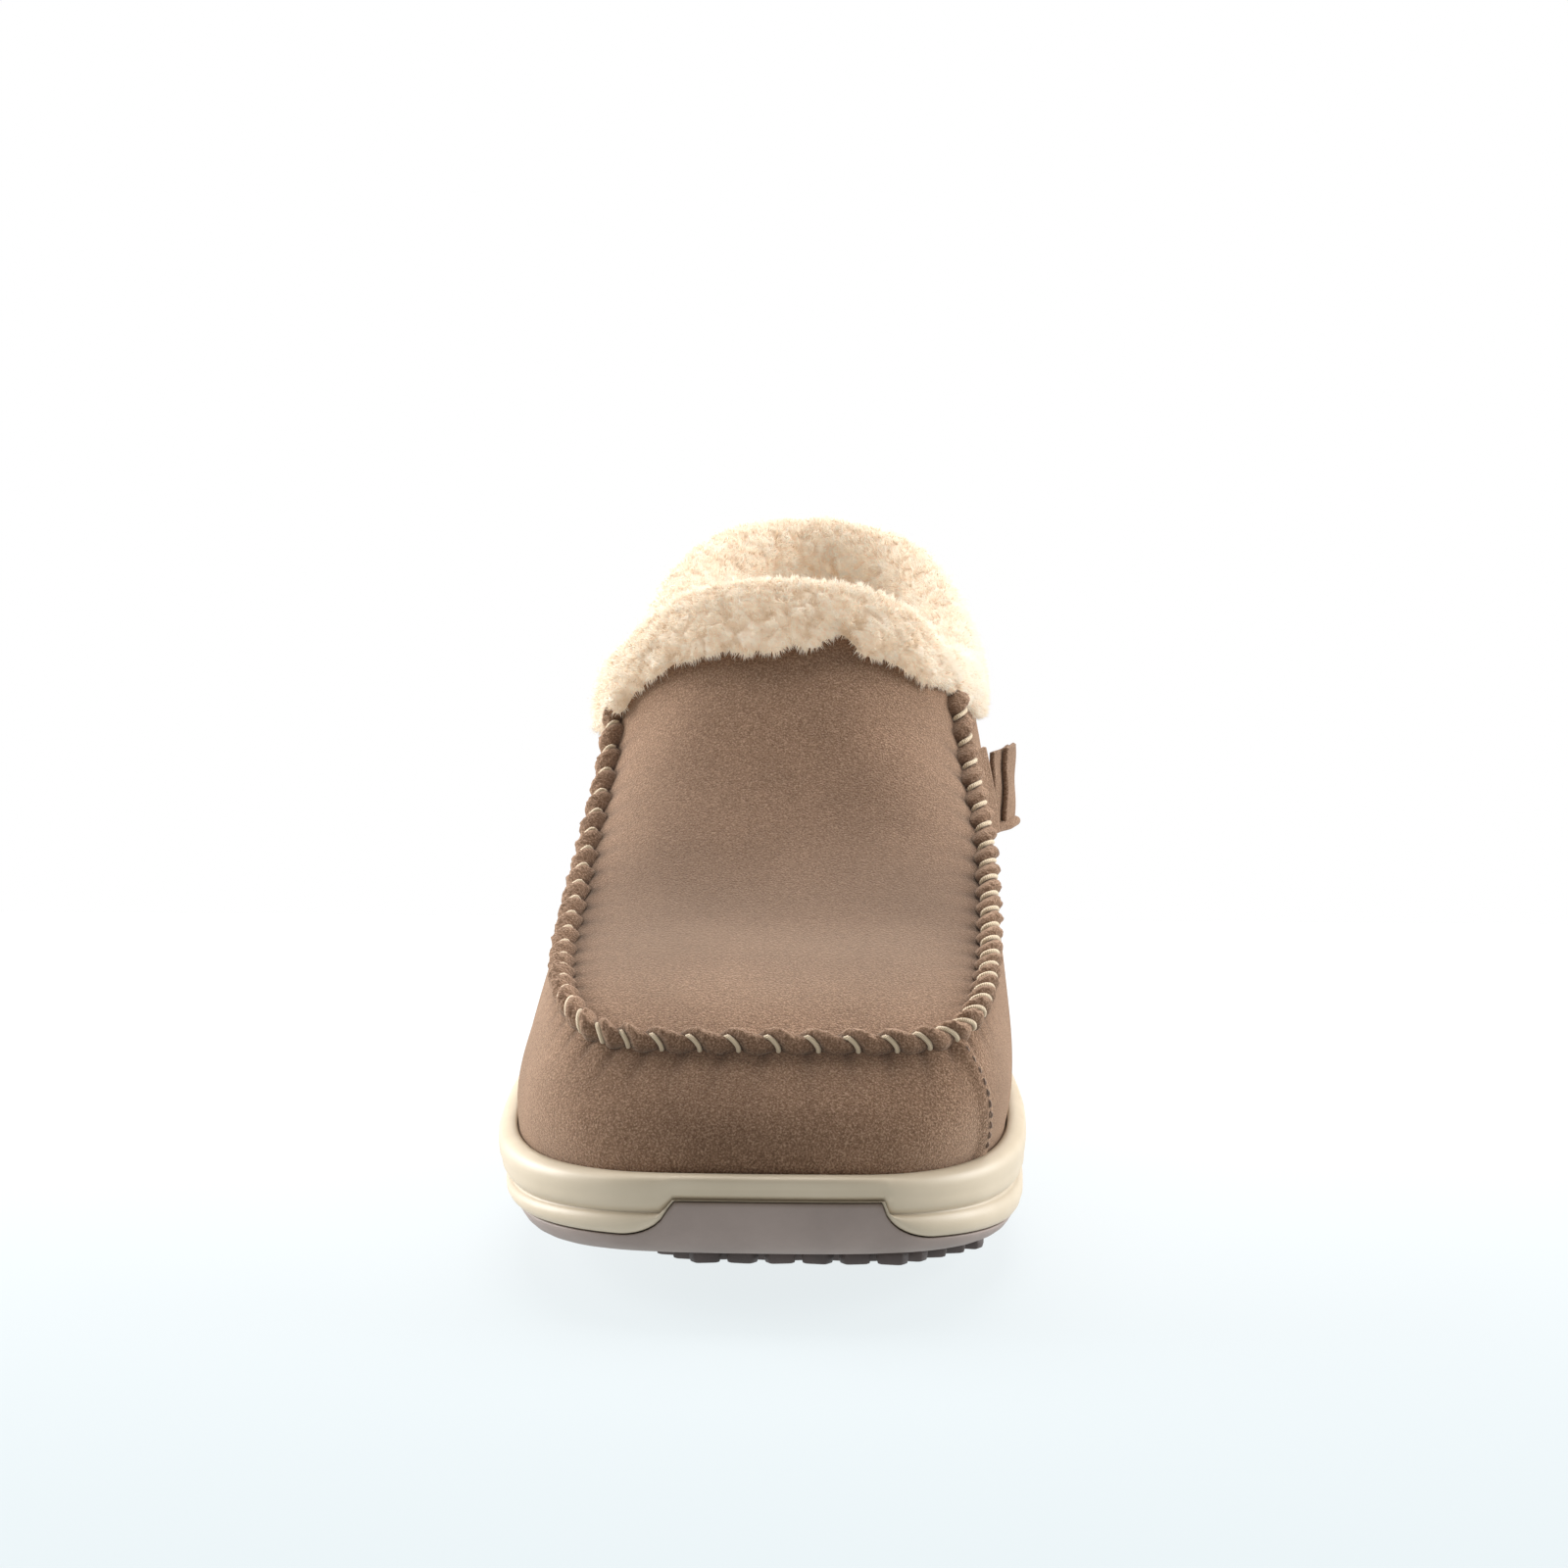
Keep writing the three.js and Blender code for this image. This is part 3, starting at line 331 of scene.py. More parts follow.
def wallFace(u, v):
    # the wall's own direction, taken above the step inside the rim
    return normalOf(wallPoint, u, np.maximum(v, upper["rimStep"] + 0.02), upper["rimStep"], 1)


def apronFace(a, b):
    # the apron's own direction
    return normalOf(apronPoint, a, b, 0, 1, -1, 1)


def seamNormal(u):
    # halfway between the wall's direction and the apron's
    along = np.abs(u)
    a = np.where(along < cornerAt, u / cornerAt, np.sign(u))
    b = np.clip((along - cornerAt) / (mouthAt - cornerAt), 0, 1)
    return unit(wallFace(u, np.ones_like(u)) + apronFace(a, b))


def wallNormal(u, v):
    # the wall's direction, eased to the seam's along the apron and kept level inside the rim
    u, v = np.broadcast_arrays(np.asarray(u, float), np.asarray(v, float))
    along = np.abs(wrap(u))
    share = ease(v, 0.7, 1) * (1 - ease(along, mouthAt, mouthAt + 0.06))
    seam = seamNormal(np.sign(wrap(u)) * np.minimum(along, mouthAt))
    normal = unit(mix(wallFace(u, v), seam, share[..., None]))
    upright = (v < upper["rimStep"])[..., None] * np.array([0, 0, 1.0])
    return unit(normal * (1 - upright))


def apronNormal(a, b):
    # the apron's direction, eased to the seam's near its sides and front
    a, b = np.broadcast_arrays(np.asarray(a, float), np.asarray(b, float))
    edge = ease(np.abs(a), 0.75, 1)
    share = np.maximum(edge, 1 - ease(b, 0, 0.12))
    near = mix(a * cornerAt, np.sign(a) * mix(cornerAt, mouthAt, b), edge)
    return unit(mix(apronFace(a, b), seamNormal(near), share[..., None]))


def gridFaces(rows, columns, closeRows=False, closeColumns=False):
    # a quad between each grid point and its three next neighbours
    r = np.arange(rows if closeRows else rows - 1)
    c = np.arange(columns if closeColumns else columns - 1)
    r, c = np.meshgrid(r, c, indexing="ij")
    nextR, nextC = (r + 1) % rows, (c + 1) % columns
    quads = [r * columns + c, r * columns + nextC, nextR * columns + nextC, nextR * columns + c]
    return np.stack(quads, -1).reshape(-1, 4)


def volumeOf(points, faces):
    # six times the volume: a . (b x c) over each face's fan of triangles
    total = 0
    for group in faces:
        for k in range(1, group.shape[1] - 1):
            a, b, c = points[group[:, 0]], points[group[:, k]], points[group[:, k + 1]]
            total += np.einsum("ij,ij->i", a, np.cross(b, c)).sum()
    return total


def makePiece(name, points, faces, body="shoe", attributes=None, uv=None):
    # a closed mesh; its faces are turned outwards if its volume comes out negative
    points = np.asarray(points, float).reshape(-1, 3)
    faces = [np.asarray(group, int) for group in faces if len(group)]
    if volumeOf(points, faces) < 0:
        faces = [group[:, ::-1] for group in faces]
    mesh = bpy.data.meshes.new(name)
    mesh.vertices.add(len(points))
    mesh.vertices.foreach_set("co", (points * mm).astype(np.float32).ravel())
    corners = np.concatenate([group.ravel() for group in faces])
    sizes = np.concatenate([np.full(len(group), group.shape[1]) for group in faces])
    mesh.loops.add(len(corners))
    mesh.loops.foreach_set("vertex_index", corners.astype(np.int32))
    mesh.polygons.add(len(sizes))
    mesh.polygons.foreach_set("loop_start", np.concatenate([[0], np.cumsum(sizes)[:-1]]).astype(np.int32))
    mesh.polygons.foreach_set("use_smooth", np.ones(len(sizes), bool))
    for key, values in (attributes or {}).items():
        layer = mesh.attributes.new(key, "FLOAT", "POINT")
        layer.data.foreach_set("value", np.asarray(values, np.float32).ravel())
    if uv is not None:
        layer = mesh.uv_layers.new(name="UVMap")
        layer.data.foreach_set("uv", np.asarray(uv, np.float32).reshape(-1, 2)[corners].ravel())
    mesh.update(calc_edges=True)
    mesh.validate()
    piece = bpy.data.objects.new(name, mesh)
    scene.collection.objects.link(piece)
    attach(piece, body)
    return piece


def capped(rings):
    # faces of a tube of rings, each end closed by a fan round its own middle point
    rows, columns = rings.shape[:2]
    points = np.concatenate([rings.reshape(-1, 3), rings[0].mean(0)[None], rings[-1].mean(0)[None]])
    around = np.arange(columns)
    after = (around + 1) % columns
    last = (rows - 1) * columns
    start = np.stack([np.full(columns, rows * columns), after, around], -1)
    end = np.stack([np.full(columns, rows * columns + 1), last + around, last + after], -1)
    return points, [gridFaces(rows, columns, closeColumns=True), np.concatenate([start, end])]


def joined(tubes):
    # capped tubes of one size, one after another in one mesh
    parts = [capped(tube) for tube in tubes]
    offsets = (len(parts[0][0]) * np.arange(len(parts)))[:, None, None]
    quads, caps = parts[0][1]
    points = np.concatenate([own for own, _ in parts])
    return points, [(quads + offsets).reshape(-1, 4), (caps + offsets).reshape(-1, 3)]


def ringSolid(grid):
    # faces of a stack of rings, its first and last closed by rungs from one side to the other
    rows, columns = grid.shape[:2]
    i = np.arange(1, columns // 2 - 1)
    rungs = np.stack([i, i + 1, columns - i - 1, columns - i], -1)
    ends = np.array([[0, 1, columns - 1], [columns // 2 - 1, columns // 2, columns // 2 + 1]])
    last = (rows - 1) * columns
    quads = np.concatenate([gridFaces(rows, columns, closeColumns=True), rungs[:, ::-1], rungs + last])
    return [quads, np.concatenate([ends[:, ::-1], ends + last])]


def lengthAlong(path):
    # length of the path up to each of its points
    return np.concatenate([[0], np.cumsum(np.linalg.norm(np.diff(path, axis=0), axis=1))])


def spread(curve, count, *others):
    # the closed curve, and the rows that go with it, at even lengths
    length = lengthAlong(curve)
    total = length[-1] + np.linalg.norm(curve[0] - curve[-1])
    spots = np.arange(count) * total / count
    rows = (curve, *others)
    return [np.stack([np.interp(spots, length, part, period=total) for part in row.T], -1) for row in rows]


def panel(name, outer, normals, thickness, roundness=0.35, body="shoe", attributes=None):
    # outer face, inner face a thickness below it, and a rim that bows out between their borders
    rows, columns = outer.shape[:2]
    inner = outer - normals * thickness
    at = np.arange(rows * columns).reshape(rows, columns)
    border = np.concatenate([at[0, :-1], at[:-1, -1], at[-1, :0:-1], at[:0:-1, 0]])
    inside = np.concatenate([at[1, :-1], at[:-1, -2], at[-2, :0:-1], at[:0:-1, 1]])
    flat = outer.reshape(-1, 3)
    away = unit(flat[border] - flat[inside])
    rimPoints = (flat[border] + inner.reshape(-1, 3)[border]) / 2 + away * roundness
    points = np.concatenate([flat, inner.reshape(-1, 3), rimPoints])
    count, ring = rows * columns, np.arange(len(border))
    after = (ring + 1) % len(border)
    skin = gridFaces(rows, columns)
    upperRim = np.stack([border, 2 * count + ring, 2 * count + after, border[after]], -1)
    lowerRim = np.stack([2 * count + ring, border + count, border[after] + count, 2 * count + after], -1)
    faces = [np.concatenate([skin, skin[:, ::-1] + count, upperRim, lowerRim])]
    shades = {}
    for key, value in (attributes or {}).items():
        value = np.broadcast_to(value, (rows, columns)).ravel()
        shades[key] = np.concatenate([value, value, value[border]])
    return makePiece(name, points, faces, body, shades)


def wobble(points, size, seed, waves=14):
    # sum of sine waves in random directions, about one size long, between roughly -1 and 1
    draw = np.random.default_rng(seed)
    directions = unit(draw.normal(size=(waves, 3))) * draw.uniform(0.7, 1.5, (waves, 1)) * 2 * np.pi / size
    phases = draw.uniform(0, 2 * np.pi, waves)
    return np.sin(points @ directions.T + phases).sum(-1) / math.sqrt(waves)


def nearestTuft(points, size, seed):
    # distance to, and the way towards, the nearest of one random centre in each cube of the given size
    shape = points.shape
    flat = points.reshape(-1, 3) / size
    cell = np.floor(flat).astype(np.int64)
    best, way, pick = np.full(len(flat), 9.0), np.zeros_like(flat), np.zeros(len(flat))
    for step in np.ndindex(3, 3, 3):
        near = cell + np.array(step) - 1
        hashed = (near[:, 0] * 73856093) ^ (near[:, 1] * 19349663) ^ (near[:, 2] * 83492791) ^ seed
        parts = [((hashed * k) % 10007) / 10007 for k in (7919, 104729, 1299709)]
        offset = near + np.stack(parts, -1) - flat
        distance = np.linalg.norm(offset, axis=-1)
        closer = distance < best
        best = np.where(closer, distance, best)
        way = np.where(closer[:, None], offset, way)
        pick = np.where(closer, parts[0], pick)
    return best.reshape(shape[:-1]), (way * size).reshape(shape), pick.reshape(shape[:-1])


# stitches counted along the apron seam, a pitch apart
stitching = {
    "pitch": [[0, 8], [0.07, 7.6], [0.12, 5.4], [0.2, 5.4], [0.3, 6.8], [0.52, 7.2]],  # u, mm
    "end": 0.512, "phase": 0.35, "slant": 0.66,
}
seamU = np.linspace(-mouthAt, mouthAt, 4001)
seamSteps = np.linalg.norm(np.diff(topPoint(seamU), axis=0), axis=1)
seamCount = np.concatenate([[0], np.cumsum(seamSteps / through(stitching["pitch"], np.abs(seamU[1:])))])
seamCount = seamCount - np.interp(0, seamU, seamCount) + stitching["phase"]


def stitchCount(u):
    # straight between the counts along the seam
    return np.interp(u, seamU, seamCount)


def pinch(u, shift=0.0, width=0.16):
    # 1 at each stitch, falling off as a bell over a share of the pitch
    part = (stitchCount(u) + shift + 0.5) % 1 - 0.5
    return np.exp(-((part / width) ** 2))


def seamFrame(u):
    # place on the seam, its normal made square to it, the way across and the way along
    point = topPoint(u)
    along = unit(topPoint(u + 0.004) - topPoint(u - 0.004))
    normal = seamNormal(u)
    normal = unit(normal - along * np.sum(normal * along, -1, keepdims=True))
    return point, normal, np.cross(along, normal), along


midsoleShape = {
    "around": int(480 * detail),
    # share of the height, drawn in by
    "lobe": [
        [0, 1.9], [0.06, 1.15], [0.2, 0.55], [0.42, 0.2], [0.64, 0.3], [0.82, 0.75], [0.93, 1.35], [1, 2.1],
    ],
    "band": [
        [0.05, 1.5], [0.14, 0.85], [0.26, 0.4], [0.36, 0.5], [0.5, 0.3], [0.68, 0.12], [0.84, 0.25],
        [0.94, 0.9], [1, 1.9],
    ],
    "rimTop": [[1.0, 2.6], [1.0, 3.6]],
}
outsoleShape = {
    "around": int(480 * detail),
    "side": [
        [0, 10], [0.03, 8.6], [0.09, 7], [0.19, 5.4], [0.34, 3.9], [0.52, 2.9], [0.72, 2.3], [0.9, 1.85],
        [0.98, 1.9], [1, 2.3],
    ],
}
sunk = 0.3  # the rubber's and foam's faces part by this much


def loopOf(count):
    # u evenly all the way round, starting at the heel
    return -1 + 2 * np.arange(count) / count


def ringAt(u, inset, height, leaning=False):
    # a line round the sole; the outside leans in from its widest line down to the ground
    inset = np.broadcast_to(inset, u.shape)
    plan = insetPoint(u, inset)
    if leaning:
        y = plan[:, 1]
        part = (height(y, u) - underside(y)) / (rim(y) - underside(y))
        lean = sideValue(sole["undercut"], u) * np.maximum(1 - part / sole["widestAt"], 0)
        plan = insetPoint(u, inset + lean)
    return np.concatenate([plan, height(plan[:, 1], u)[:, None]], -1)


def partingHeight(y, u):
    # height of the rubber's upper edge
    return soleHeight(y, parting(u))


def makeMidsole(values):
    # rings down the inside, then up the lobe and the band, and over the rim to the floor
    u = loopOf(values["around"])
    inner = outsoleShape["side"][-1][1] + sole["skin"] + 0.8

    def foot(y, at):
        # the foam's lower edge, just above the rubber
        return partingHeight(y, at) + sunk

    def groove(y, at):
        # height of the line between the lobe and the band
        return soleHeight(y, grooveLine(at))

    rings = [
        ringAt(u, inner + 2.5, lambda y, at: underside(y) + sole["skin"] + 0.4, True),
        ringAt(u, inner, foot, True),
    ]
    for share, inset in values["lobe"]:
        rings.append(ringAt(u, inset, lambda y, at: mix(foot(y, at), groove(y, at), share), True))
    for share, inset in values["band"]:
        rings.append(ringAt(u, inset, lambda y, at: soleHeight(y, mix(grooveLine(at), 1, share)), True))
    for share, inset in values["rimTop"]:
        rings.append(ringAt(u, inset, lambda y, at: soleHeight(y, share) + 0.25))
    edge = sole["rimInset"] + sole["rimWidth"]
    rings.append(ringAt(u, edge, lambda y, at: rim(y)))
    rings.append(ringAt(u, edge, lambda y, at: floorOf(y)))
    grid = np.array(rings)
    piece = makePiece("midsole_foam", grid, ringSolid(grid))
    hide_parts("midsole")
    return piece


def makeOutsole(values):
    # rings from the flat bottom up the rounded side to the foam, then down the inside
    u = loopOf(values["around"])
    rings = []
    for share, inset in values["side"]:
        rings.append(ringAt(u, inset, lambda y, at: soleHeight(y, share * parting(at)), True))
    edge = values["side"][-1][1]
    rings.append(ringAt(u, edge + sole["skin"], partingHeight, True))
    rings.append(ringAt(u, edge + sole["skin"] + 2.5, lambda y, at: underside(y) + sole["skin"], True))
    grid = np.array(rings)
    piece = makePiece("outsole_rubber", grid, ringSolid(grid))
    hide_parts("outsole")
    return piece


lugShape = {
    "pitch": (7.6, 6.8), "half": (3.0, 2.3), "turn": 20, "hang": 2.6, "around": 20, "squareness": 0.4,
    "rows": (18, 136), "fromLateral": 27.0, "fromMedial": 10.5,
    # share of the hang below the sole, drawn in by
    "side": [(-0.25, 0), (0.55, 0.0), (0.92, 0.25), (1.0, 0.75)],
}


def makeLugs(values):
    # superellipse blocks on a staggered grid inside the outline, turned left and right by turns
    edge = outlinePoint(np.linspace(0, 1, 400))
    other = outlinePoint(np.linspace(0, -1, 400))
    y = np.arange(values["rows"][0], values["rows"][1], values["pitch"][1]) - sole["length"] / 2
    low = np.interp(y, other[:, 1], other[:, 0]) + values["fromLateral"]
    high = np.interp(y, edge[:, 1], edge[:, 0]) - values["fromMedial"]
    columns = np.arange(-9, 10)[None, :]
    rows = np.arange(len(y))[:, None]
    x = outline["toeX"] + (columns + 0.5 * (rows % 2)) * values["pitch"][0]
    inside = (x > low[:, None]) & (x < high[:, None])
    centre = np.stack([x, np.broadcast_to(y[:, None], x.shape)], -1)[inside]
    turn = np.radians(values["turn"]) * np.where((columns + 0 * rows)[inside] % 2 == 0, 1, -1)
    around = np.linspace(0, 2 * np.pi, values["around"], endpoint=False)
    circle = np.stack([np.cos(around), np.sin(around)], -1)
    corner = np.sign(circle) * np.abs(circle) ** values["squareness"]
    lugs = []
    for (cx, cy), angle in zip(centre, turn):
        rings = []
        for share, inset in values["side"]:
            flat = corner * (np.array(values["half"]) - inset)
            px = cx + flat[:, 0] * math.cos(angle) - flat[:, 1] * math.sin(angle)
            py = cy + flat[:, 0] * math.sin(angle) + flat[:, 1] * math.cos(angle)
            rings.append(np.stack([px, py, underside(py) - values["hang"] * share], -1))
        lugs.append(np.array(rings))
    piece = makePiece("forefoot_lugs", *joined(lugs))
    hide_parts("forefoot_tread")
    return piece


midsole = makeMidsole(midsoleShape)
outsole = makeOutsole(outsoleShape)
lugs = makeLugs(lugShape)
print("sole")

suedeShape = {
    "step": 1.1 / detail,  # mm between the columns of a panel
    "rows": int(56 * detail),
    "pucker": 0.5, "puckerReach": 3.2,  # gathers below the seam
    "wave": 0.16, "waveSize": 34,  # slow unevenness of the leather
    "lap": 1.0, "lapReach": 7,  # the vamp's edge lies over the quarter's
    "apronHalf": 42, "apronLength": 125,
    "apronPaintedShade": 0.55, "apronShadeAt": 0.5, "apronShadeWidth": 0.24,  # painted shade across the middle of the apron, where its slope turns away from the top light
}
cornerSeam = {"bottom": 0.2, "top": 0.155}
lateralSeam = {"bottom": -0.5, "top": -0.46}
backstayEdge = 0.035
seamGap = 0.4


def wallHeight(u):
    # straight from the step inside the rim to the top line
    return np.linalg.norm(topPoint(u) - wallPoint(u, upper["rimStep"]), axis=-1)


def suedeWall(name, nodes, starts, ends, low=0.0, high=0.995, lift=0.0, lapAt=None):
    # wall between two leaning lines, gathered by a bell at each stitch that fades down the wall
    values = suedeShape
    rows = values["rows"]
    v = np.linspace(low, high, rows)[:, None]
    length = abs(ends["bottom"] - starts["bottom"]) * wallLength
    t = np.linspace(0, 1, max(int(length / values["step"]), 8))[None, :]
    u = mix(mix(starts["bottom"], starts["top"], v), mix(ends["bottom"], ends["top"], v), t)
    point, normal = wallPoint(u, v), wallNormal(u, v)
    along = np.abs(wrap(u))
    below = (1 - v) * wallHeight(wrap(u))
    gather = pinch(wrap(u)) * np.exp(-below / values["puckerReach"]) * (1 - ease(along, 0.46, 0.5))
    lumps = values["wave"] * wobble(point, values["waveSize"], 3) * ease(v, 0.15, 0.4)
    raised = lift + lumps - values["pucker"] * gather
    if lapAt is not None:
        edge = mix(lapAt["bottom"], lapAt["top"], v)
        raised = raised + values["lap"] * (1 - ease(np.abs(u - edge) * wallLength, 2.5, values["lapReach"]))
    point = point + normal * raised[..., None]
    # painted shade in the gathers below each stitch
    shade = np.clip(gather * 0.9, 0, 1)
    piece = panel(name, point, normal, upper["suede"], attributes={"paintedShade": shade})
    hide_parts(*nodes)
    return piece


def line(bottom, top=None):
    # a line up the wall, by its u at the bottom and at the top
    return {"bottom": bottom, "top": bottom if top is None else top}


def suedeApron(values):
    # the apron's patch, gathered by the stitches round its border
    count = int(90 / values["step"])
    a = np.linspace(-0.993, 0.993, count)[None, :]
    b = np.linspace(0.004, 0.998, int(count * 1.6))[:, None]
    point, normal = apronPoint(a, b), apronNormal(a, b)
    toSide = (1 - np.abs(a)) * values["apronHalf"] + 0 * b
    toFront = values["apronLength"] * b + 0 * a
    near = np.where(toSide < toFront, np.sign(a) * mix(cornerAt, mouthAt, b), a * cornerAt)
    fading = np.exp(-np.minimum(toSide, toFront) / values["puckerReach"])
    gather = pinch(near) * fading * (1 - ease(b, 0.86, 0.93))
    lumps = values["wave"] * wobble(point, values["waveSize"] * 1.3, 5)
    point = point + normal * (lumps - values["pucker"] * gather)[..., None]
    # painted shade: darker across the middle of the apron, where its slope turns away from the top light,
    # added to the painted shade in the gathers
    brushedNapAndPaintedShade = values["apronPaintedShade"] * np.exp(-(((b - values["apronShadeAt"]) / values["apronShadeWidth"]) ** 2))
    shade = np.clip(gather * 1.2 + brushedNapAndPaintedShade, 0, 1)
    piece = panel("apron_suede", point, normal, upper["suede"], attributes={"paintedShade": shade})
    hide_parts("apron")
    return piece


gapShare = seamGap / wallLength
vampStart = line(lateralSeam["bottom"] + gapShare, lateralSeam["top"] + gapShare)
vampEnd = line(cornerSeam["bottom"] + gapShare, cornerSeam["top"] + gapShare)
medialStart = line(cornerSeam["bottom"] - 0.004, cornerSeam["top"] - 0.004)
lateralEnd = line(lateralSeam["bottom"] - gapShare, lateralSeam["top"] - gapShare)
backstayStart, backstayEnd = line(1 - backstayEdge), line(1 + backstayEdge)
suedePieces = [
    suedeWall("vamp_suede", ["vamp"], vampStart, vampEnd, lapAt=vampEnd),
    suedeWall("medial_quarter_suede", ["medial_quarter"], medialStart, line(1 - gapShare), lift=-0.1),
    suedeWall("lateral_quarter_suede", ["lateral_quarter"], line(-1 + gapShare), lateralEnd),
    suedeWall("backstay_suede", ["backstay"], backstayStart, backstayEnd, 0.14, 0.8, upper["suede"] + 0.35),
    suedeApron(suedeShape),
]
print("suede")

ridgeShape = {
    "width": 4.7, "height": 3.2, "foot": 0.2, "pinch": 0.32, "swell": 0.17, "wrinkle": 0.16,
    "perStitch": int(22 * detail), "around": 26, "taper": 0.55,
}
lacing = {
    "radius": 0.52, "sunk": 0.06, "dive": 0.7, "steps": 20, "around": 8,
    # angles over the ridge: on the wall's side, at the crest and on the apron's side
    "wallFoot": -0.35, "crest": 1.62, "apronFoot": 3.3, "lateralCrest": 2.9,
    # where along the seam the thread reaches further over
    "fullFrom": 0.05, "fullTo": 0.2, "lateralFrom": 0.12, "lateralTo": 0.24,
}


def ridgeRadius(angle, u, values=ridgeShape):
    # half-ellipse squeezed under each stitch and swollen just past it, both leaning with the thread
    lean = -stitching["slant"] * np.cos(angle) * 0.5
    squeeze = 1 - values["pinch"] * pinch(u, lean, 0.15)
    swell = 1 + values["swell"] * np.cos(2 * np.pi * (stitchCount(u) + lean - 0.36))
    side = values["width"] / 2 * np.cos(angle) * squeeze * swell
    up = values["foot"] + values["height"] * np.sin(angle) * squeeze * swell
    return side, up


def makeRidge(values):
    # the ridge's section carried along the seam, wrinkled on its outside and tapered at both ends
    end = stitching["end"]
    count = int((stitchCount(end) - stitchCount(-end)) * values["perStitch"])
    u = np.interp(np.linspace(stitchCount(-end), stitchCount(end), count), seamCount, seamU)
    angle = np.linspace(-0.25, math.pi + 0.25, values["around"])
    point, normal, across, _ = seamFrame(u)
    side, up = ridgeRadius(angle[None, :], u[:, None])
    rings = point[:, None] + across[:, None] * side[..., None] + normal[:, None] * up[..., None]
    rough = values["wrinkle"] * (wobble(rings, 1.9, 11) + 0.6 * wobble(rings, 1.0, 12))
    sideways, upwards = np.cos(angle)[None, :, None], np.sin(angle)[None, :, None]
    away = unit(across[:, None] * sideways + normal[:, None] * upwards)
    rings = rings + away * (rough * np.maximum(np.sin(angle), 0))[..., None]
    step, taper = np.arange(count), values["taper"]
    taper = 1 - taper * (1 - ease(step, 0, 10)) - taper * ease(step, count - 11, count - 1)
    rings = point[:, None] + (rings - point[:, None]) * taper[:, None, None]
    points, faces = capped(rings)
    lean = -stitching["slant"] * np.cos(angle)[None, :] * 0.5
    # painted shade: darker where each stitch pinches the ridge and along its feet on the panels
    feet = 0.35 * np.clip(1 - np.sin(angle) * 2, 0, 1)[None, :]
    paintedShade = np.concatenate([np.clip(0.85 * pinch(u[:, None], lean, 0.13) + feet, 0, 1).ravel(), [0, 0]])
    piece = makePiece("gathered_ridge", points, faces, attributes={"paintedShade": paintedShade})
    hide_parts("seam_ridge")
    return piece


def makeLacing(values):
    # a thread on the ridge at each stitch, from the wall's side to just past the crest at the toe and
    # further over it along both sides; its ends lie a slant apart along the seam
    end = stitching["end"] - 0.006
    numbers = np.arange(math.ceil(stitchCount(-end)), math.floor(stitchCount(end)) + 1)
    middleU = np.interp(numbers, seamCount, seamU)
    last = mix(values["crest"], values["apronFoot"], ease(middleU, values["fullFrom"], values["fullTo"]))
    last = mix(last, values["lateralCrest"], ease(-middleU, values["lateralFrom"], values["lateralTo"]))
    t = np.linspace(0, 1, values["steps"])[None, :]
    angle = mix(values["wallFoot"], last[:, None], t)
    count = numbers[:, None] + stitching["slant"] * np.cos(angle) * 0.5
    draw = np.random.default_rng(8)
    count = count + draw.uniform(-0.03, 0.03, (len(numbers), 1))
    u = np.interp(count, seamCount, seamU)
    point, normal, across, along = seamFrame(u)
    ridgeSide, ridgeUp = ridgeRadius(angle, u)
    lift = values["radius"] - values["sunk"] - values["dive"] * (1 - ease(t, 0, 0.14))
    lift = lift - values["dive"] * ease(t, 0.86, 1)
    side = ridgeSide + lift * np.cos(angle)
    up = ridgeUp + lift * np.sin(angle)
    path = point + across * side[..., None] + normal * up[..., None]
    tangent = unit(np.gradient(path, axis=1))
    first = unit(np.cross(tangent, along))
    second = np.cross(tangent, first)
    turn = np.linspace(0, 2 * math.pi, values["around"], endpoint=False)
    ring = first[:, :, None] * np.cos(turn)[:, None] + second[:, :, None] * np.sin(turn)[:, None]
    tubes = path[:, :, None] + ring * values["radius"]
    size = tubes.shape[1:3]
    run = np.broadcast_to(np.linspace(0, 1, values["steps"])[:, None], size)
    aroundShare = np.broadcast_to(np.abs(np.linspace(-1, 1, values["around"]))[None, :], size)
    own = np.concatenate([np.stack([run, aroundShare], -1).reshape(-1, 2), [[0, 0], [1, 0]]])
    piece = makePiece("lacing_thread", *joined(tubes), uv=np.tile(own, (len(tubes), 1)))
    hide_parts("whipstitch_thread")
    return piece


ridge = makeRidge(ridgeShape)
thread = makeLacing(lacing)
print("ridge and lacing")

cuffShape = {
    "around": int(760 * detail), "section": int(124 * detail),
    # outward, down: the roll's profile from the outer lip over the top to the inner lip
    "profile": [
        (0.9, 12), (2.0, 13.6), (3.7, 12.8), (4.6, 9.5), (4.9, 4), (4.3, -0.8), (2.4, -3.9), (-0.8, -5),
        (-4.6, -4.2), (-7.4, -1.6), (-8.8, 2.5), (-8.8, 8), (-7.6, 9.5), (-6.7, 6), (-6.6, 0.5), (-4, -1.2),
        (0, -1.1), (1.0, 1.5), (0.9, 7),
    ],
    "stir": 0.75, "stirSize": 3.4,
    "large": 5.6, "largeHeight": 1.3, "clump": 2.7, "clumpHeight": 1.35, "fine": 1.35, "fineHeight": 0.6,
    "rearRise": 3.0, "rearOut": 5.0,  # fuller on the lateral side of the heel
    "medialLift": 7.0, "medialDraw": 0.5,  # shorter and flatter at the medial corner of the mouth
    "notch": (0.028, 0.009, 4.0),  # where round the front edge, how wide, how deep in mm
}
pile = {
    "cuffStrands": int(49000 * detail), "liningStrands": int(38000 * detail), "length": 1.5, "root": 0.12,
    "liningReach": 0.7, "liningPerU": 330,
}


def periodic(values, rounds):
    # each row of a loop eased to its neighbours, as 1, 2 and 1 quarters, so many times over
    for _ in range(rounds):
        values = (np.roll(values, 1, 0) + 2 * values + np.roll(values, -1, 0)) / 4
    return values


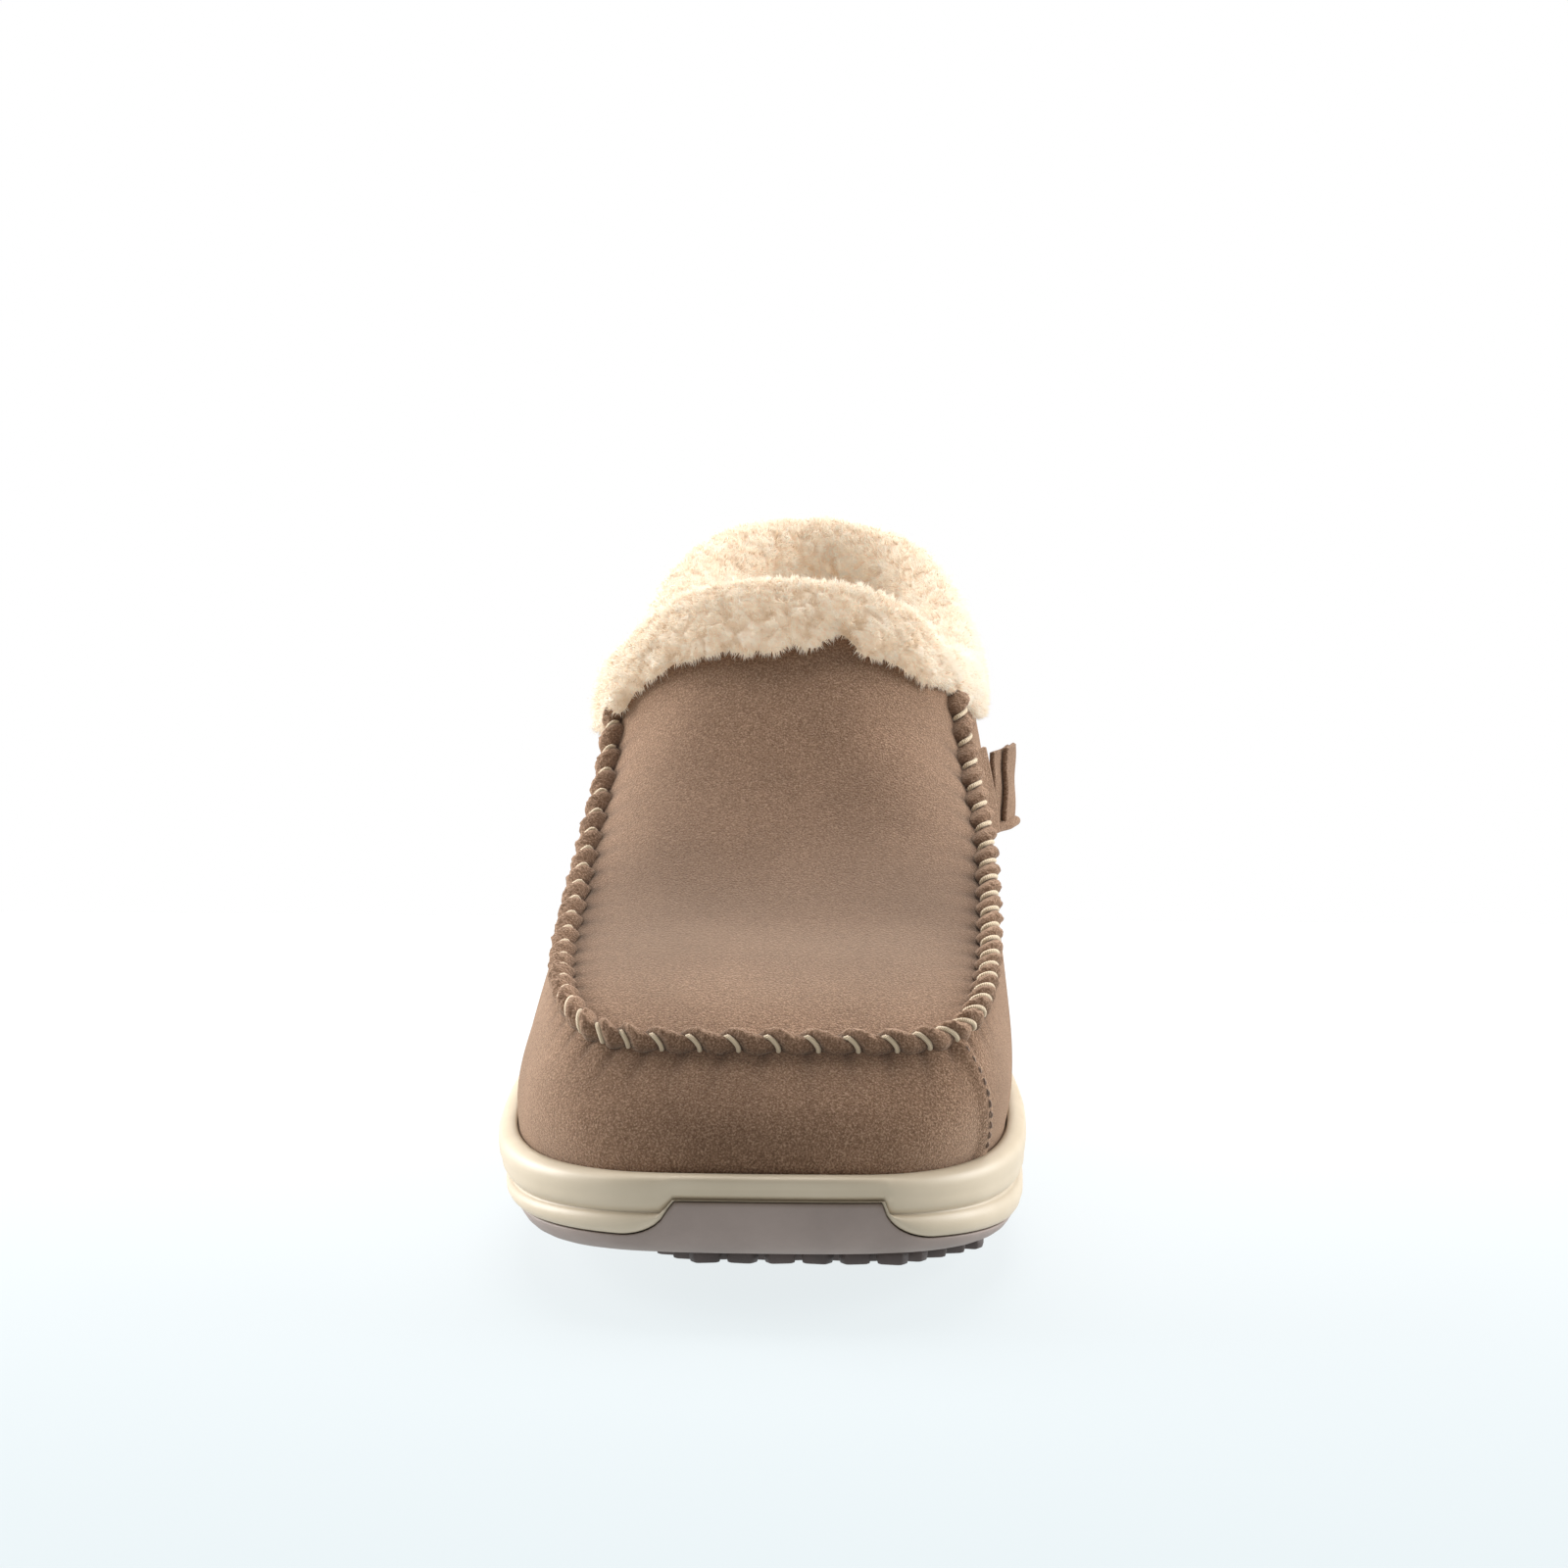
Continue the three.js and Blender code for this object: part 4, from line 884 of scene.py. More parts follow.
def mouthRing(count):
    # frames round the mouth, spread evenly by length and eased at its corners
    a = np.linspace(-0.98, 0.98, 60)
    front = apronPoint(a, np.ones_like(a))
    frontDown = unit(apronPoint(a, np.full_like(a, 0.9)) - front)
    frontOut = apronFace(a, np.full_like(a, 0.97))
    u = np.linspace(mouthAt + 0.006, 2 - mouthAt - 0.006, 220)
    rear = wallPoint(u, np.ones_like(u))
    rearDown = unit(wallPoint(u, np.full_like(u, 0.8)) - rear)
    rearOut = wallFace(u, np.full_like(u, 0.95))
    point = np.concatenate([front, rear])
    down, out = np.concatenate([frontDown, rearDown]), np.concatenate([frontOut, rearOut])
    point, down, out = spread(point, count, down, out)
    rounds = int(count * 0.08)
    point = periodic(point, rounds // 4)
    down = unit(periodic(down, rounds))
    out = periodic(out, rounds)
    out = unit(out - down * np.sum(out * down, -1, keepdims=True))
    return point, down, out


def smoothProfile(points, count):
    # closed Catmull-Rom curve through the profile, spread evenly by length
    knots = np.asarray(points, float)
    n = len(knots)
    t = np.linspace(0, n, n * 20, endpoint=False)
    k, f = np.floor(t).astype(int), (t % 1)[:, None]
    p0, p1, p2, p3 = (knots[(k + shift) % n] for shift in (-1, 0, 1, 2))
    curve = 2 * p1 + (p2 - p0) * f + (2 * p0 - 5 * p1 + 4 * p2 - p3) * f**2
    curve = 0.5 * (curve + (3 * p1 - p0 - 3 * p2 + p3) * f**3)
    return spread(curve, count)[0]


def gridNormals(grid, closeRows, closeColumns):
    # cross product of the differences to the neighbours on both sides
    def ahead(axis, closed):
        if closed:
            return np.roll(grid, -1, axis) - np.roll(grid, 1, axis)
        return np.gradient(grid, axis=axis)
    return unit(np.cross(ahead(0, closeRows), ahead(1, closeColumns)))


def stirred(points, values=cuffShape):
    # moved by three slow sums of sines, so that the tufts are not all round
    moves = [wobble(points, values["stirSize"], 61 + k) for k in range(3)]
    return points + values["stir"] * np.stack(moves, -1)


def fluff(grid, normals, reach, values=cuffShape):
    # rounded clumps of two sizes, one to each tuft centre, with a finer unevenness over them
    moved = stirred(grid)
    distance, _, pick = nearestTuft(moved, values["clump"], 17)
    largeDistance, _, _ = nearestTuft(moved, values["large"], 31)
    smallDistance, _, _ = nearestTuft(moved, values["fine"], 29)
    height = values["clumpHeight"] * (0.7 - distance) + values["fineHeight"] * (0.6 - smallDistance)
    height = height + values["largeHeight"] * (0.6 - largeDistance)
    return grid + normals * (height * reach)[..., None], distance, pick


def makeStrands(name, roots, normals, comb, count, seed, length):
    # three-sided spikes: they leave the skin along its normal, lean with the comb and gather at their tuft
    draw = np.random.default_rng(seed)
    chosen = draw.integers(0, len(roots), count)
    sideways = draw.normal(size=(count, 3)) * 0.45
    normal, lean = normals[chosen], comb[chosen]
    sideways -= normal * np.sum(sideways * normal, -1, keepdims=True)
    root = roots[chosen] + sideways
    moved = stirred(root)
    distance, toTuft, pick = nearestTuft(moved, cuffShape["clump"], 17)
    _, toLock, _ = nearestTuft(moved, cuffShape["fine"], 29)
    way = unit(normal + 0.5 * lean + 0.2 * draw.normal(size=(count, 3)))
    long = length * draw.uniform(0.7, 1.15, (count, 1)) * (1.35 - 0.9 * distance[:, None])
    tip = root + way * long + 0.3 * toTuft + 0.6 * toLock
    first = unit(np.cross(way, draw.normal(size=(count, 3))))
    second = np.cross(way, first)
    turn = np.arange(3) * 2 * np.pi / 3
    ring = first[:, None] * np.cos(turn)[:, None] + second[:, None] * np.sin(turn)[:, None]
    base = (root - normal * 0.5)[:, None] + ring * pile["root"] * draw.uniform(0.8, 1.3, (count, 1, 1))
    points = np.concatenate([base, tip[:, None]], 1)
    sides = np.array([[0, 2, 1], [0, 1, 3], [1, 2, 3], [2, 0, 3]])
    faces = [(sides + 4 * np.arange(count)[:, None, None]).reshape(-1, 3)]
    # painted shade: deep at each spike's root and on spikes far from their tuft's centre, kept in along
    crest = np.clip(1.15 - distance, 0, 1)[:, None]
    along = (np.array([[0.3, 0.3, 0.3, 1]]) * crest).ravel()
    tone = np.repeat(0.6 * pick + 0.4 * draw.uniform(size=count), 4)
    piece = makePiece(name, points, faces, attributes={"along": along, "tone": tone})
    return piece


def mouthCentre(point):
    # share of the way round at which the mouth's front edge is furthest forward
    return np.argmin(point[:, 1]) / len(point)


def makeCuff(values):
    # the profile carried round the mouth with an uneven lip, fuller at the heel, then raised into clumps
    point, down, out = mouthRing(values["around"])
    profile = smoothProfile(values["profile"], values["section"])
    reachDown = np.broadcast_to(profile[None, :, 1:], (len(point), len(profile), 1)).copy()
    place, width, depth = values["notch"]
    spot = ((np.arange(len(point)) / len(point) - mouthCentre(point) - place + 0.5) % 1 - 0.5)[:, None, None]
    lip = ease(reachDown, 6, 13) * (profile[None, :, :1] > 0)
    uneven = wobble(point, 15, 23)[:, None, None] * 0.7 + wobble(point, 7, 24)[:, None, None] * 0.5
    reachDown += lip * (uneven - depth * np.exp(-((spot / width) ** 2)))
    plump = values["rearRise"] * ease(-point[:, 0], -12, 14) * ease(point[:, 1], 30, 80)
    reachDown -= plump[:, None, None] * ease(-reachDown, -4, 3)
    corner = (ease(point[:, 0], 27, 38) * (1 - 0.6 * ease(point[:, 1], 40, 90)))[:, None, None]
    reachDown -= values["medialLift"] * corner * ease(reachDown, 0, 13) * (profile[None, :, :1] > 0)
    reachOut = profile[None, :, :1] * (1 - values["medialDraw"] * corner * (profile[None, :, :1] > 1))
    rear = (ease(-point[:, 0], 0, 20) * ease(point[:, 1], 50, 90))[:, None, None]
    reachOut = reachOut + values["rearOut"] * rear * ease(profile[None, :, :1], -6, 3)
    grid = point[:, None] + out[:, None] * reachOut + down[:, None] * reachDown
    normals = gridNormals(grid, True, True)
    middle = grid.mean(1, keepdims=True)
    if np.sum((grid - middle) * normals) < 0:
        normals = -normals
    outerSide = (profile[:, 0] > 1.5) | (profile[:, 1] < -2) | (profile[:, 0] < -7)
    reach = periodic(outerSide.astype(float), 3)[None, :] * np.ones((len(point), 1))
    puffed, distance, pick = fluff(grid, normals, reach)
    faces = [gridFaces(*puffed.shape[:2], closeRows=True, closeColumns=True)]
    # painted shade between the clumps, kept in along
    piece = makePiece("cuff_fleece", puffed, faces, attributes={"along": 0.45 - 0.4 * distance, "tone": pick})
    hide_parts("collar_cuff")
    hairy = np.broadcast_to(outerSide[None, :], grid.shape[:2]).ravel()
    downWay = np.broadcast_to(down[:, None], grid.shape)
    overTop = np.where(profile[None, :, :1] > -1, 1.0, -0.4)
    comb = downWay * np.clip(overTop, -1, 1)
    return piece, puffed.reshape(-1, 3)[hairy], normals.reshape(-1, 3)[hairy], comb.reshape(-1, 3)[hairy]


cuff, cuffRoots, cuffNormals, cuffComb = makeCuff(cuffShape)
furPieces = []
bands = np.quantile(cuffRoots[:, 1], [0, 0.25, 0.5, 0.75, 1])
for number, (fromY, toY) in enumerate(zip(bands[:-1], bands[1:])):
    here = (cuffRoots[:, 1] >= fromY) & (cuffRoots[:, 1] <= toY)
    own = cuffRoots[here], cuffNormals[here], cuffComb[here]
    name = f"cuff_pile_{number + 1}"
    furPieces.append(makeStrands(name, *own, pile["cuffStrands"], 41 + number, pile["length"]))
print("cuff")


def fleeceSheet(name, point, normal):
    # a sheet of fleece inside a surface, moved in along its normal and clumped on the side of the foot
    back = point - normal * liningDepth
    reach = pile["liningReach"] * np.ones(point.shape[:2])
    face, distance, pick = fluff(point - normal * upperDepth, -normal, reach)
    thickness = np.linalg.norm(back - face, axis=-1, keepdims=True)
    # painted shade between the clumps, kept in along
    shades = {"along": 0.45 - 0.4 * distance, "tone": pick}
    return panel(name, back, unit(back - face), thickness, 0.3, attributes=shades), face


def liningWall(name, node, fromU, toU, seed, strands):
    # fleece inside the wall, with spikes above the footbed where the mouth shows it
    rows, columns = int(90 * detail), int(abs(toU - fromU) * pile["liningPerU"] * detail)
    v, u = np.linspace(0, 0.997, rows)[:, None], np.linspace(fromU, toU, columns)[None, :]
    point, normal = wallPoint(u, v), wallNormal(u, v)
    piece, face = fleeceSheet(name, point, normal)
    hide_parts(node)
    if not strands:
        return [piece]
    seen = np.broadcast_to(v > 0.35, face.shape[:2])
    comb = np.broadcast_to(np.array([0, 0, -1.0]), face[seen].shape)
    own = face[seen], -normal[seen], comb
    return [piece, makeStrands(name + "_pile", *own, strands, seed, pile["length"] * 0.85)]


def liningApron():
    # fleece inside the apron's patch
    a = np.linspace(-0.997, 0.997, int(110 * detail))[None, :]
    b = np.linspace(0.01, 0.99, int(150 * detail))[:, None]
    piece, _ = fleeceSheet("apron_fleece", apronPoint(a, b), apronNormal(a, b))
    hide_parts("apron_lining")
    return [piece]


edgeShare = 0.0004
frontU, rearU = mouthAt + edgeShare, 1 - edgeShare
furPieces += [cuff]
furPieces += liningWall("medial_fleece", "medial_lining", frontU, rearU, 51, pile["liningStrands"])
furPieces += liningWall("lateral_fleece", "lateral_lining", -rearU, -frontU, 52, pile["liningStrands"])
furPieces += liningWall("toe_fleece", "toe_lining", -mouthAt + edgeShare, mouthAt - edgeShare, 53, 0)
furPieces += liningApron()

sockShape = {
    "around": int(300 * detail), "across": int(40 * detail), "reach": 0.8, "proud": 0.3,
    "board": 1.8, "foam": 4.2, "gap": 0.4, "fleece": 2,
}


def makeSock(values):
    # fleece sheet over the footbed: a low rim, then straight lines across it, clumped on top
    u = loopOf(values["around"])
    base = 3 * values["gap"] + values["board"] + values["foam"]
    shares = np.linspace(0.02, 1, values["across"])
    edge = ringAt(u, bedInset + 0.4, lambda y, at: floorOf(y) + base + values["fleece"])
    mirror = edge[(-np.arange(len(u))) % len(u)]
    middle = (edge + mirror) / 2
    rows = [ringAt(u, bedInset + 0.2, lambda y, at: floorOf(y) + base)]
    rows += [ringAt(u, bedInset, lambda y, at: floorOf(y) + base + 1.2)]
    rows += [mix(edge, middle, 1 - share) for share in shares[::-1]]
    grid = np.array(rows)
    up = np.zeros_like(grid)
    up[..., 2] = 1
    reach = np.ones(grid.shape[:2])
    reach[:2] = 0
    puffed, distance, pick = fluff(grid, up, reach * values["reach"])
    puffed[2:, :, 2] += values["proud"]
    # painted shade between the clumps, kept in along
    shades = {"along": 0.45 - 0.4 * distance, "tone": pick}
    piece = makePiece("footbed_fleece", puffed, ringSolid(grid), attributes=shades)
    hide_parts("footbed_sock")
    return piece


furPieces.append(makeSock(sockShape))
print("lining")

edgeStitch = {"length": 1.7, "pitch": 2.5, "radius": 0.24, "fromEdge": 1.7, "backstayAt": 0.025}


def makeStitchRow(name, nodes, stationAt, low, high, height, values=edgeStitch):
    # short capsules lying along one line of the wall, a pitch apart
    v = np.linspace(low, high, 400)
    u = stationAt(v)
    path = wallPoint(u, v) + wallNormal(u, v) * height
    length = lengthAlong(path)
    starts = np.arange(1.0, length[-1] - values["length"], values["pitch"])
    t = np.linspace(0, 1, 9)
    spots = starts[:, None] + values["length"] * t[None, :]
    centre = np.stack([np.interp(spots, length, path[:, k]) for k in range(3)], -1)
    at = np.interp(spots, length, v)
    normal = wallNormal(stationAt(at), at)
    tangent = unit(np.gradient(centre, axis=1))
    across = np.cross(tangent, normal)
    girth = values["radius"] * np.sqrt(np.clip(1 - (2 * t - 1) ** 4, 0.05, 1))
    centre = centre + normal * (0.25 * np.sin(np.pi * t) - 0.12)[None, :, None]
    turn = np.linspace(0, 2 * np.pi, 8, endpoint=False)
    ring = across[:, :, None] * np.cos(turn)[:, None] + normal[:, :, None] * np.sin(turn)[:, None]
    tubes = centre[:, :, None] + ring * girth[None, :, None, None]
    piece = makePiece(name, *joined(tubes))
    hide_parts(*nodes)
    return piece


def cornerLine(v):
    # the vamp's edge, moved in from it
    return mix(vampEnd["bottom"], vampEnd["top"], v) - edgeStitch["fromEdge"] / wallLength


def backstayLine(v, station):
    # the same u all the way up
    return np.full_like(v, station)


onBackstay = (0.17, 0.78, upper["suede"] + 0.45)
stitchPieces = [
    makeStitchRow("corner_stitches", ["corner_seam_thread"],
                  cornerLine, 0.16, 0.93, suedeShape["lap"] + 0.1),
    makeStitchRow("backstay_stitches_medial", ["backstay_thread_medial"],
                  lambda v: backstayLine(v, 1 - edgeStitch["backstayAt"]), *onBackstay),
    makeStitchRow("backstay_stitches_lateral", ["backstay_thread_lateral"],
                  lambda v: backstayLine(v, 1 + edgeStitch["backstayAt"]), *onBackstay),
]
tabLow, tabHigh = (np.array(corner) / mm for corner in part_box("side_tab"))
tabShape = {
    "columns": 44, "rows": 44, "leaf": 1.15, "angle": 16, "curl": 0.5, "underFrom": 0.09, "step": 0.42,
    "off": 0.35, "lift": 1.35, "hem": 1.25, "hemSteps": 40,
}
rootShape = {
    "hingeU": 0.505, "front": 0.022, "back": 0.003, "columns": 16, "rows": 40, "thick": 1.3,
    "proud": 1.7, "rise": 3.2, "power": 1.5,
}


def makeTab(values):
    # a long under leaf and a shorter leaf lying on its free end, both caught in a rolled hem at the bottom
    hinge = np.array(frame["joints"][0]["pos_m"]) / mm
    turn = math.radians(values["angle"])
    along = np.array([math.sin(turn), math.cos(turn), 0])
    out = np.array([math.cos(turn), -math.sin(turn), 0])
    length = (tabHigh[1] - hinge[1]) / math.cos(turn) - 2.5
    half = (tabHigh[2] - tabLow[2]) / 2
    middle = (tabHigh[2] + tabLow[2]) / 2
    s = np.linspace(-0.93, 1, values["rows"])[:, None]

    def leafAt(name, start, lift, top):
        # flat leaf bowed outwards by half a sine wave, its top drawn down
        t = np.linspace(start, 1, values["columns"])[None, :]
        bow = values["curl"] * np.sin(math.pi * t) + 0.16 * np.sin(5 * s + 4 * t)
        point = hinge + along * (length * t)[..., None] + out * (bow + lift)[..., None]
        point = np.broadcast_to(point, (values["rows"], values["columns"], 3)).copy()
        point[..., 2] = middle + half * s * (1 - 0.03 * t) - top * (s > 0) * s
        normal = np.broadcast_to(out, point.shape)
        # painted shade along the leaf's top and bottom edges
        paintedShade = np.exp(-(((1 - np.abs(s)) * half / 0.7) ** 2)) * 0.35 + 0 * t
        return panel(name, point, normal, values["leaf"], 0.3, "side_tab", {"paintedShade": paintedShade})

    under = leafAt("side_tab_under_leaf", values["underFrom"], values["off"], 0.5)
    over = leafAt("side_tab_leaf", values["step"], values["off"] + values["lift"], 0)
    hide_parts("side_tab")
    t = np.linspace(0.05, 1.04, values["hemSteps"])
    away = values["off"] + 0.2 + 1.3 * ease(t, 0.2, 0.6)
    centre = hinge + along * (length * t)[:, None] + out * away[:, None]
    centre[:, 2] = middle - half + values["hem"]
    turns = np.linspace(0, 2 * math.pi, 18, endpoint=False)
    girth = values["hem"] * np.sqrt(np.clip(1 - np.abs(2 * (t - t[0]) / (t[-1] - t[0]) - 1) ** 12, 0.03, 1))
    oval = out * 1.12 * np.cos(turns)[:, None] + np.array([0, 0, 0.95]) * np.sin(turns)[:, None]
    points, faces = capped(centre[:, None] + oval[None] * girth[:, None, None])
    # a faint painted shade all over the hem
    hem = makePiece("side_tab_hem", points, faces, "side_tab", {"paintedShade": np.full(len(points), 0.1)})
    return [over, under, hem]


def makeTabRoot(values):
    # strip on the quarter in front of the tab, raised off the wall more and more towards the tab
    columns, hingeU = values["columns"], values["hingeU"]
    u = np.linspace(hingeU - values["front"], hingeU - values["back"], columns)[None, :]
    z = np.linspace(tabLow[2] + 0.3, tabHigh[2] - 0.3, values["rows"])[:, None]
    v = np.full(np.broadcast_shapes(u.shape, z.shape), 0.5)
    for _ in range(20):
        v = v + (z - wallPoint(u, v)[..., 2]) / 90
    point, normal = wallPoint(u, v), wallNormal(u, v)
    proud = values["proud"] + values["rise"] * np.linspace(0, 1, columns)[None, :, None] ** values["power"]
    raised = point + normal * proud
    piece = panel("tab_root_suede", raised, normal, values["thick"], 0.3, attributes={"paintedShade": 0 * v})
    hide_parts("tab_root")
    return piece


suedePieces += makeTab(tabShape) + [makeTabRoot(rootShape)]
print("stitches and tab")


def newFinish(name):
    # a material, its nodes and its own shader
    material = bpy.data.materials.new(name)
    material.use_nodes = True
    return material, material.node_tree, material.node_tree.nodes["Principled BSDF"]


def node(tree, kind, **values):
    # a node with each value given to its own setting or to the input of that name
    made = tree.nodes.new("ShaderNode" + kind)
    for key, value in values.items():
        if hasattr(made, key):
            setattr(made, key, value)
        else:
            made.inputs[key.replace("_", " ")].default_value = value
    return made


def noiseAt(tree, scale, detailLevel=3.0, roughness=0.55):
    # noise by place on the piece, so many waves to the metre
    place = node(tree, "TexCoord")
    noise = node(tree, "TexNoise", Scale=scale, Detail=detailLevel, Roughness=roughness)
    tree.links.new(place.outputs["Object"], noise.inputs["Vector"])
    return noise.outputs["Fac"]


def ramp(tree, factor, stops):
    # straight from colour to colour at the given places
    made = node(tree, "ValToRGB")
    elements = made.color_ramp.elements
    while len(elements) < len(stops):
        elements.new(0.5)
    for element, (position, colour) in zip(elements, stops):
        element.position = position
        element.color = (*colour, 1)
    tree.links.new(factor, made.inputs["Fac"])
    return made.outputs["Color"]


def blendColour(tree, factor, first, second, kind="MIX"):
    # two colours mixed by a factor; each may be a value or come from a node
    made = node(tree, "Mix", data_type="RGBA", blend_type=kind)
    for socket, value in ((0, factor), (6, first), (7, second)):
        if isinstance(value, bpy.types.NodeSocket):
            tree.links.new(value, made.inputs[socket])
        else:
            made.inputs[socket].default_value = value if socket == 0 else (*value, 1)
    return made.outputs[2]


def bumpFrom(tree, shader, height, strength, distance):
    # normals tilted by the slope of a height
    bump = node(tree, "Bump", Strength=strength, Distance=distance)
    tree.links.new(height, bump.inputs["Height"])
    tree.links.new(bump.outputs["Normal"], shader.inputs["Normal"])


def attribute(tree, name):
    # a value kept on each point of the mesh
    return node(tree, "Attribute", attribute_name=name).outputs["Fac"]


def suedeFinish(values):
    # nap: pale fibre tips over a darker ground, on slow brushed patches, with painted shade in the gathers,
    # at the ridge's stitches and feet, along the tab's edges and across the middle of the apron
    material, tree, shader = newFinish("suede_nap")
    fine = noiseAt(tree, values["fine"], 2.5, 0.62)
    patch = noiseAt(tree, values["patch"], 3, 0.5)
    speckle = ramp(tree, fine, [(0.34, values["dark"]), (0.5, values["base"]), (0.68, values["light"])])
    brushedNapAndPaintedShade = ramp(tree, patch, [(0.35, (0.86, 0.85, 0.84)), (0.65, (1.08, 1.08, 1.08))])
    colour = blendColour(tree, 1.0, speckle, brushedNapAndPaintedShade, "MULTIPLY")
    withPaintedShade = blendColour(tree, attribute(tree, "paintedShade"), colour, values["paintedShade"])
    tree.links.new(withPaintedShade, shader.inputs["Base Color"])
    shader.inputs["Roughness"].default_value = 0.95
    shader.inputs["Specular IOR Level"].default_value = 0.12
    shader.inputs["Sheen Weight"].default_value = values["sheen"]
    shader.inputs["Sheen Roughness"].default_value = 0.5
    shader.inputs["Sheen Tint"].default_value = (*values["sheenTint"], 1)
    bumpFrom(tree, shader, fine, values["bump"], 0.0005)
    return material


def fleeceFinish(values):
    # each tuft's tone times a painted shade that is deep at the roots and between the tufts and clear at the
    # tips, a little see-through, with a painted glow in its own colour
    material, tree, shader = newFinish("shearling")
    tones = [(0.0, values["warm"]), (0.5, values["base"]), (1.0, values["light"])]
    depths = [(0.0, values["deep"]), (0.32, values["between"]), (1.0, (1, 1, 1))]
    tone = ramp(tree, attribute(tree, "tone"), tones)
    depth = ramp(tree, attribute(tree, "along"), depths)
    colour = blendColour(tree, 1.0, tone, depth, "MULTIPLY")
    tree.links.new(colour, shader.inputs["Base Color"])
    shader.inputs["Roughness"].default_value = 0.9
    shader.inputs["Specular IOR Level"].default_value = 0.2
    shader.inputs["Sheen Weight"].default_value = 0.35
    shader.inputs["Sheen Roughness"].default_value = 0.5
    # painted light: the fleece glows in its own colour, standing in for light scattered through the pile
    tree.links.new(colour, shader.inputs["Emission Color"])
    shader.inputs["Emission Strength"].default_value = values["glow"]
    bumpFrom(tree, shader, noiseAt(tree, 1400, 4, 0.7), 0.6, 0.0006)
    glow = node(tree, "BsdfTranslucent")
    tree.links.new(colour, glow.inputs["Color"])
    both = node(tree, "MixShader")
    both.inputs["Fac"].default_value = values["translucent"]
    tree.links.new(shader.outputs["BSDF"], both.inputs[1])
    tree.links.new(glow.outputs["BSDF"], both.inputs[2])
    tree.links.new(both.outputs["Shader"], tree.nodes["Material Output"].inputs["Surface"])
    return material


def mouldedFinish(name, values):
    # moulded foam or rubber: faint mottling, a fine mould texture and slightly uneven gloss
    material, tree, shader = newFinish(name)
    mottle = ramp(tree, noiseAt(tree, values["mottle"], 4), [(0.3, values["dark"]), (0.7, values["base"])])
    tree.links.new(mottle, shader.inputs["Base Color"])
    gloss = node(tree, "MapRange", To_Min=values["gloss"][0], To_Max=values["gloss"][1])
    tree.links.new(noiseAt(tree, values["mottle"] * 3, 3), gloss.inputs["Value"])
    tree.links.new(gloss.outputs["Result"], shader.inputs["Roughness"])
    shader.inputs["Specular IOR Level"].default_value = values["specular"]
    bumpFrom(tree, shader, noiseAt(tree, values["grain"], 3, 0.6), values["bump"], 0.0002)
    return material


def threadFinish(name, values):
    # twisted strands: slanted bands along each stitch
    material, tree, shader = newFinish(name)
    place = node(tree, "TexCoord")
    mapping = node(tree, "Mapping")
    mapping.inputs["Scale"].default_value = values["twist"]
    mapping.inputs["Rotation"].default_value = (0, 0, 0.6)
    tree.links.new(place.outputs[values["coords"]], mapping.inputs["Vector"])
    wave = node(tree, "TexWave", Scale=values["waveScale"], Distortion=0.6)
    tree.links.new(mapping.outputs["Vector"], wave.inputs["Vector"])
    colour = ramp(tree, wave.outputs["Fac"], [(0.15, values["dark"]), (0.6, values["base"])])
    tree.links.new(colour, shader.inputs["Base Color"])
    shader.inputs["Roughness"].default_value = 0.7
    shader.inputs["Sheen Weight"].default_value = 0.2
    bumpFrom(tree, shader, wave.outputs["Fac"], 0.5, 0.0002)
    return material


def floorFinish(values):
    # pale sheet lit from beneath: bluish in front of the shoe, eased to white behind it and far from it
    material, tree, shader = newFinish("studio_floor")
    place = node(tree, "TexCoord")
    parts = node(tree, "SeparateXYZ")
    tree.links.new(place.outputs["Object"], parts.inputs["Vector"])
    far = node(tree, "MapRange", From_Min=values["floorFront"] * mm, From_Max=values["floorBack"] * mm)
    far.interpolation_type = "SMOOTHSTEP"
    tree.links.new(parts.outputs["Y"], far.inputs["Value"])
    reach = node(tree, "VectorMath", operation="LENGTH")
    tree.links.new(place.outputs["Object"], reach.inputs[0])
    wide = node(tree, "MapRange", From_Min=values["floorFade"][0] * mm, From_Max=values["floorFade"][1] * mm)
    wide.interpolation_type = "SMOOTHSTEP"
    tree.links.new(reach.outputs["Value"], wide.inputs["Value"])
    most = node(tree, "Math", operation="MAXIMUM")
    tree.links.new(far.outputs["Result"], most.inputs[0])
    tree.links.new(wide.outputs["Result"], most.inputs[1])
    tree.links.new(ramp(tree, most.outputs["Value"], [(0, values["floorNear"]), (1, values["floorFar"])]),
                   shader.inputs["Emission Color"])
    shader.inputs["Emission Strength"].default_value = 1
    tree.links.new(ramp(tree, noiseAt(tree, 2), [(0.3, values["floorColour"]), (0.7, values["floorColour"])]),
                   shader.inputs["Base Color"])
    shader.inputs["Roughness"].default_value = 0.9
    shader.inputs["Specular IOR Level"].default_value = 0.1
    return material


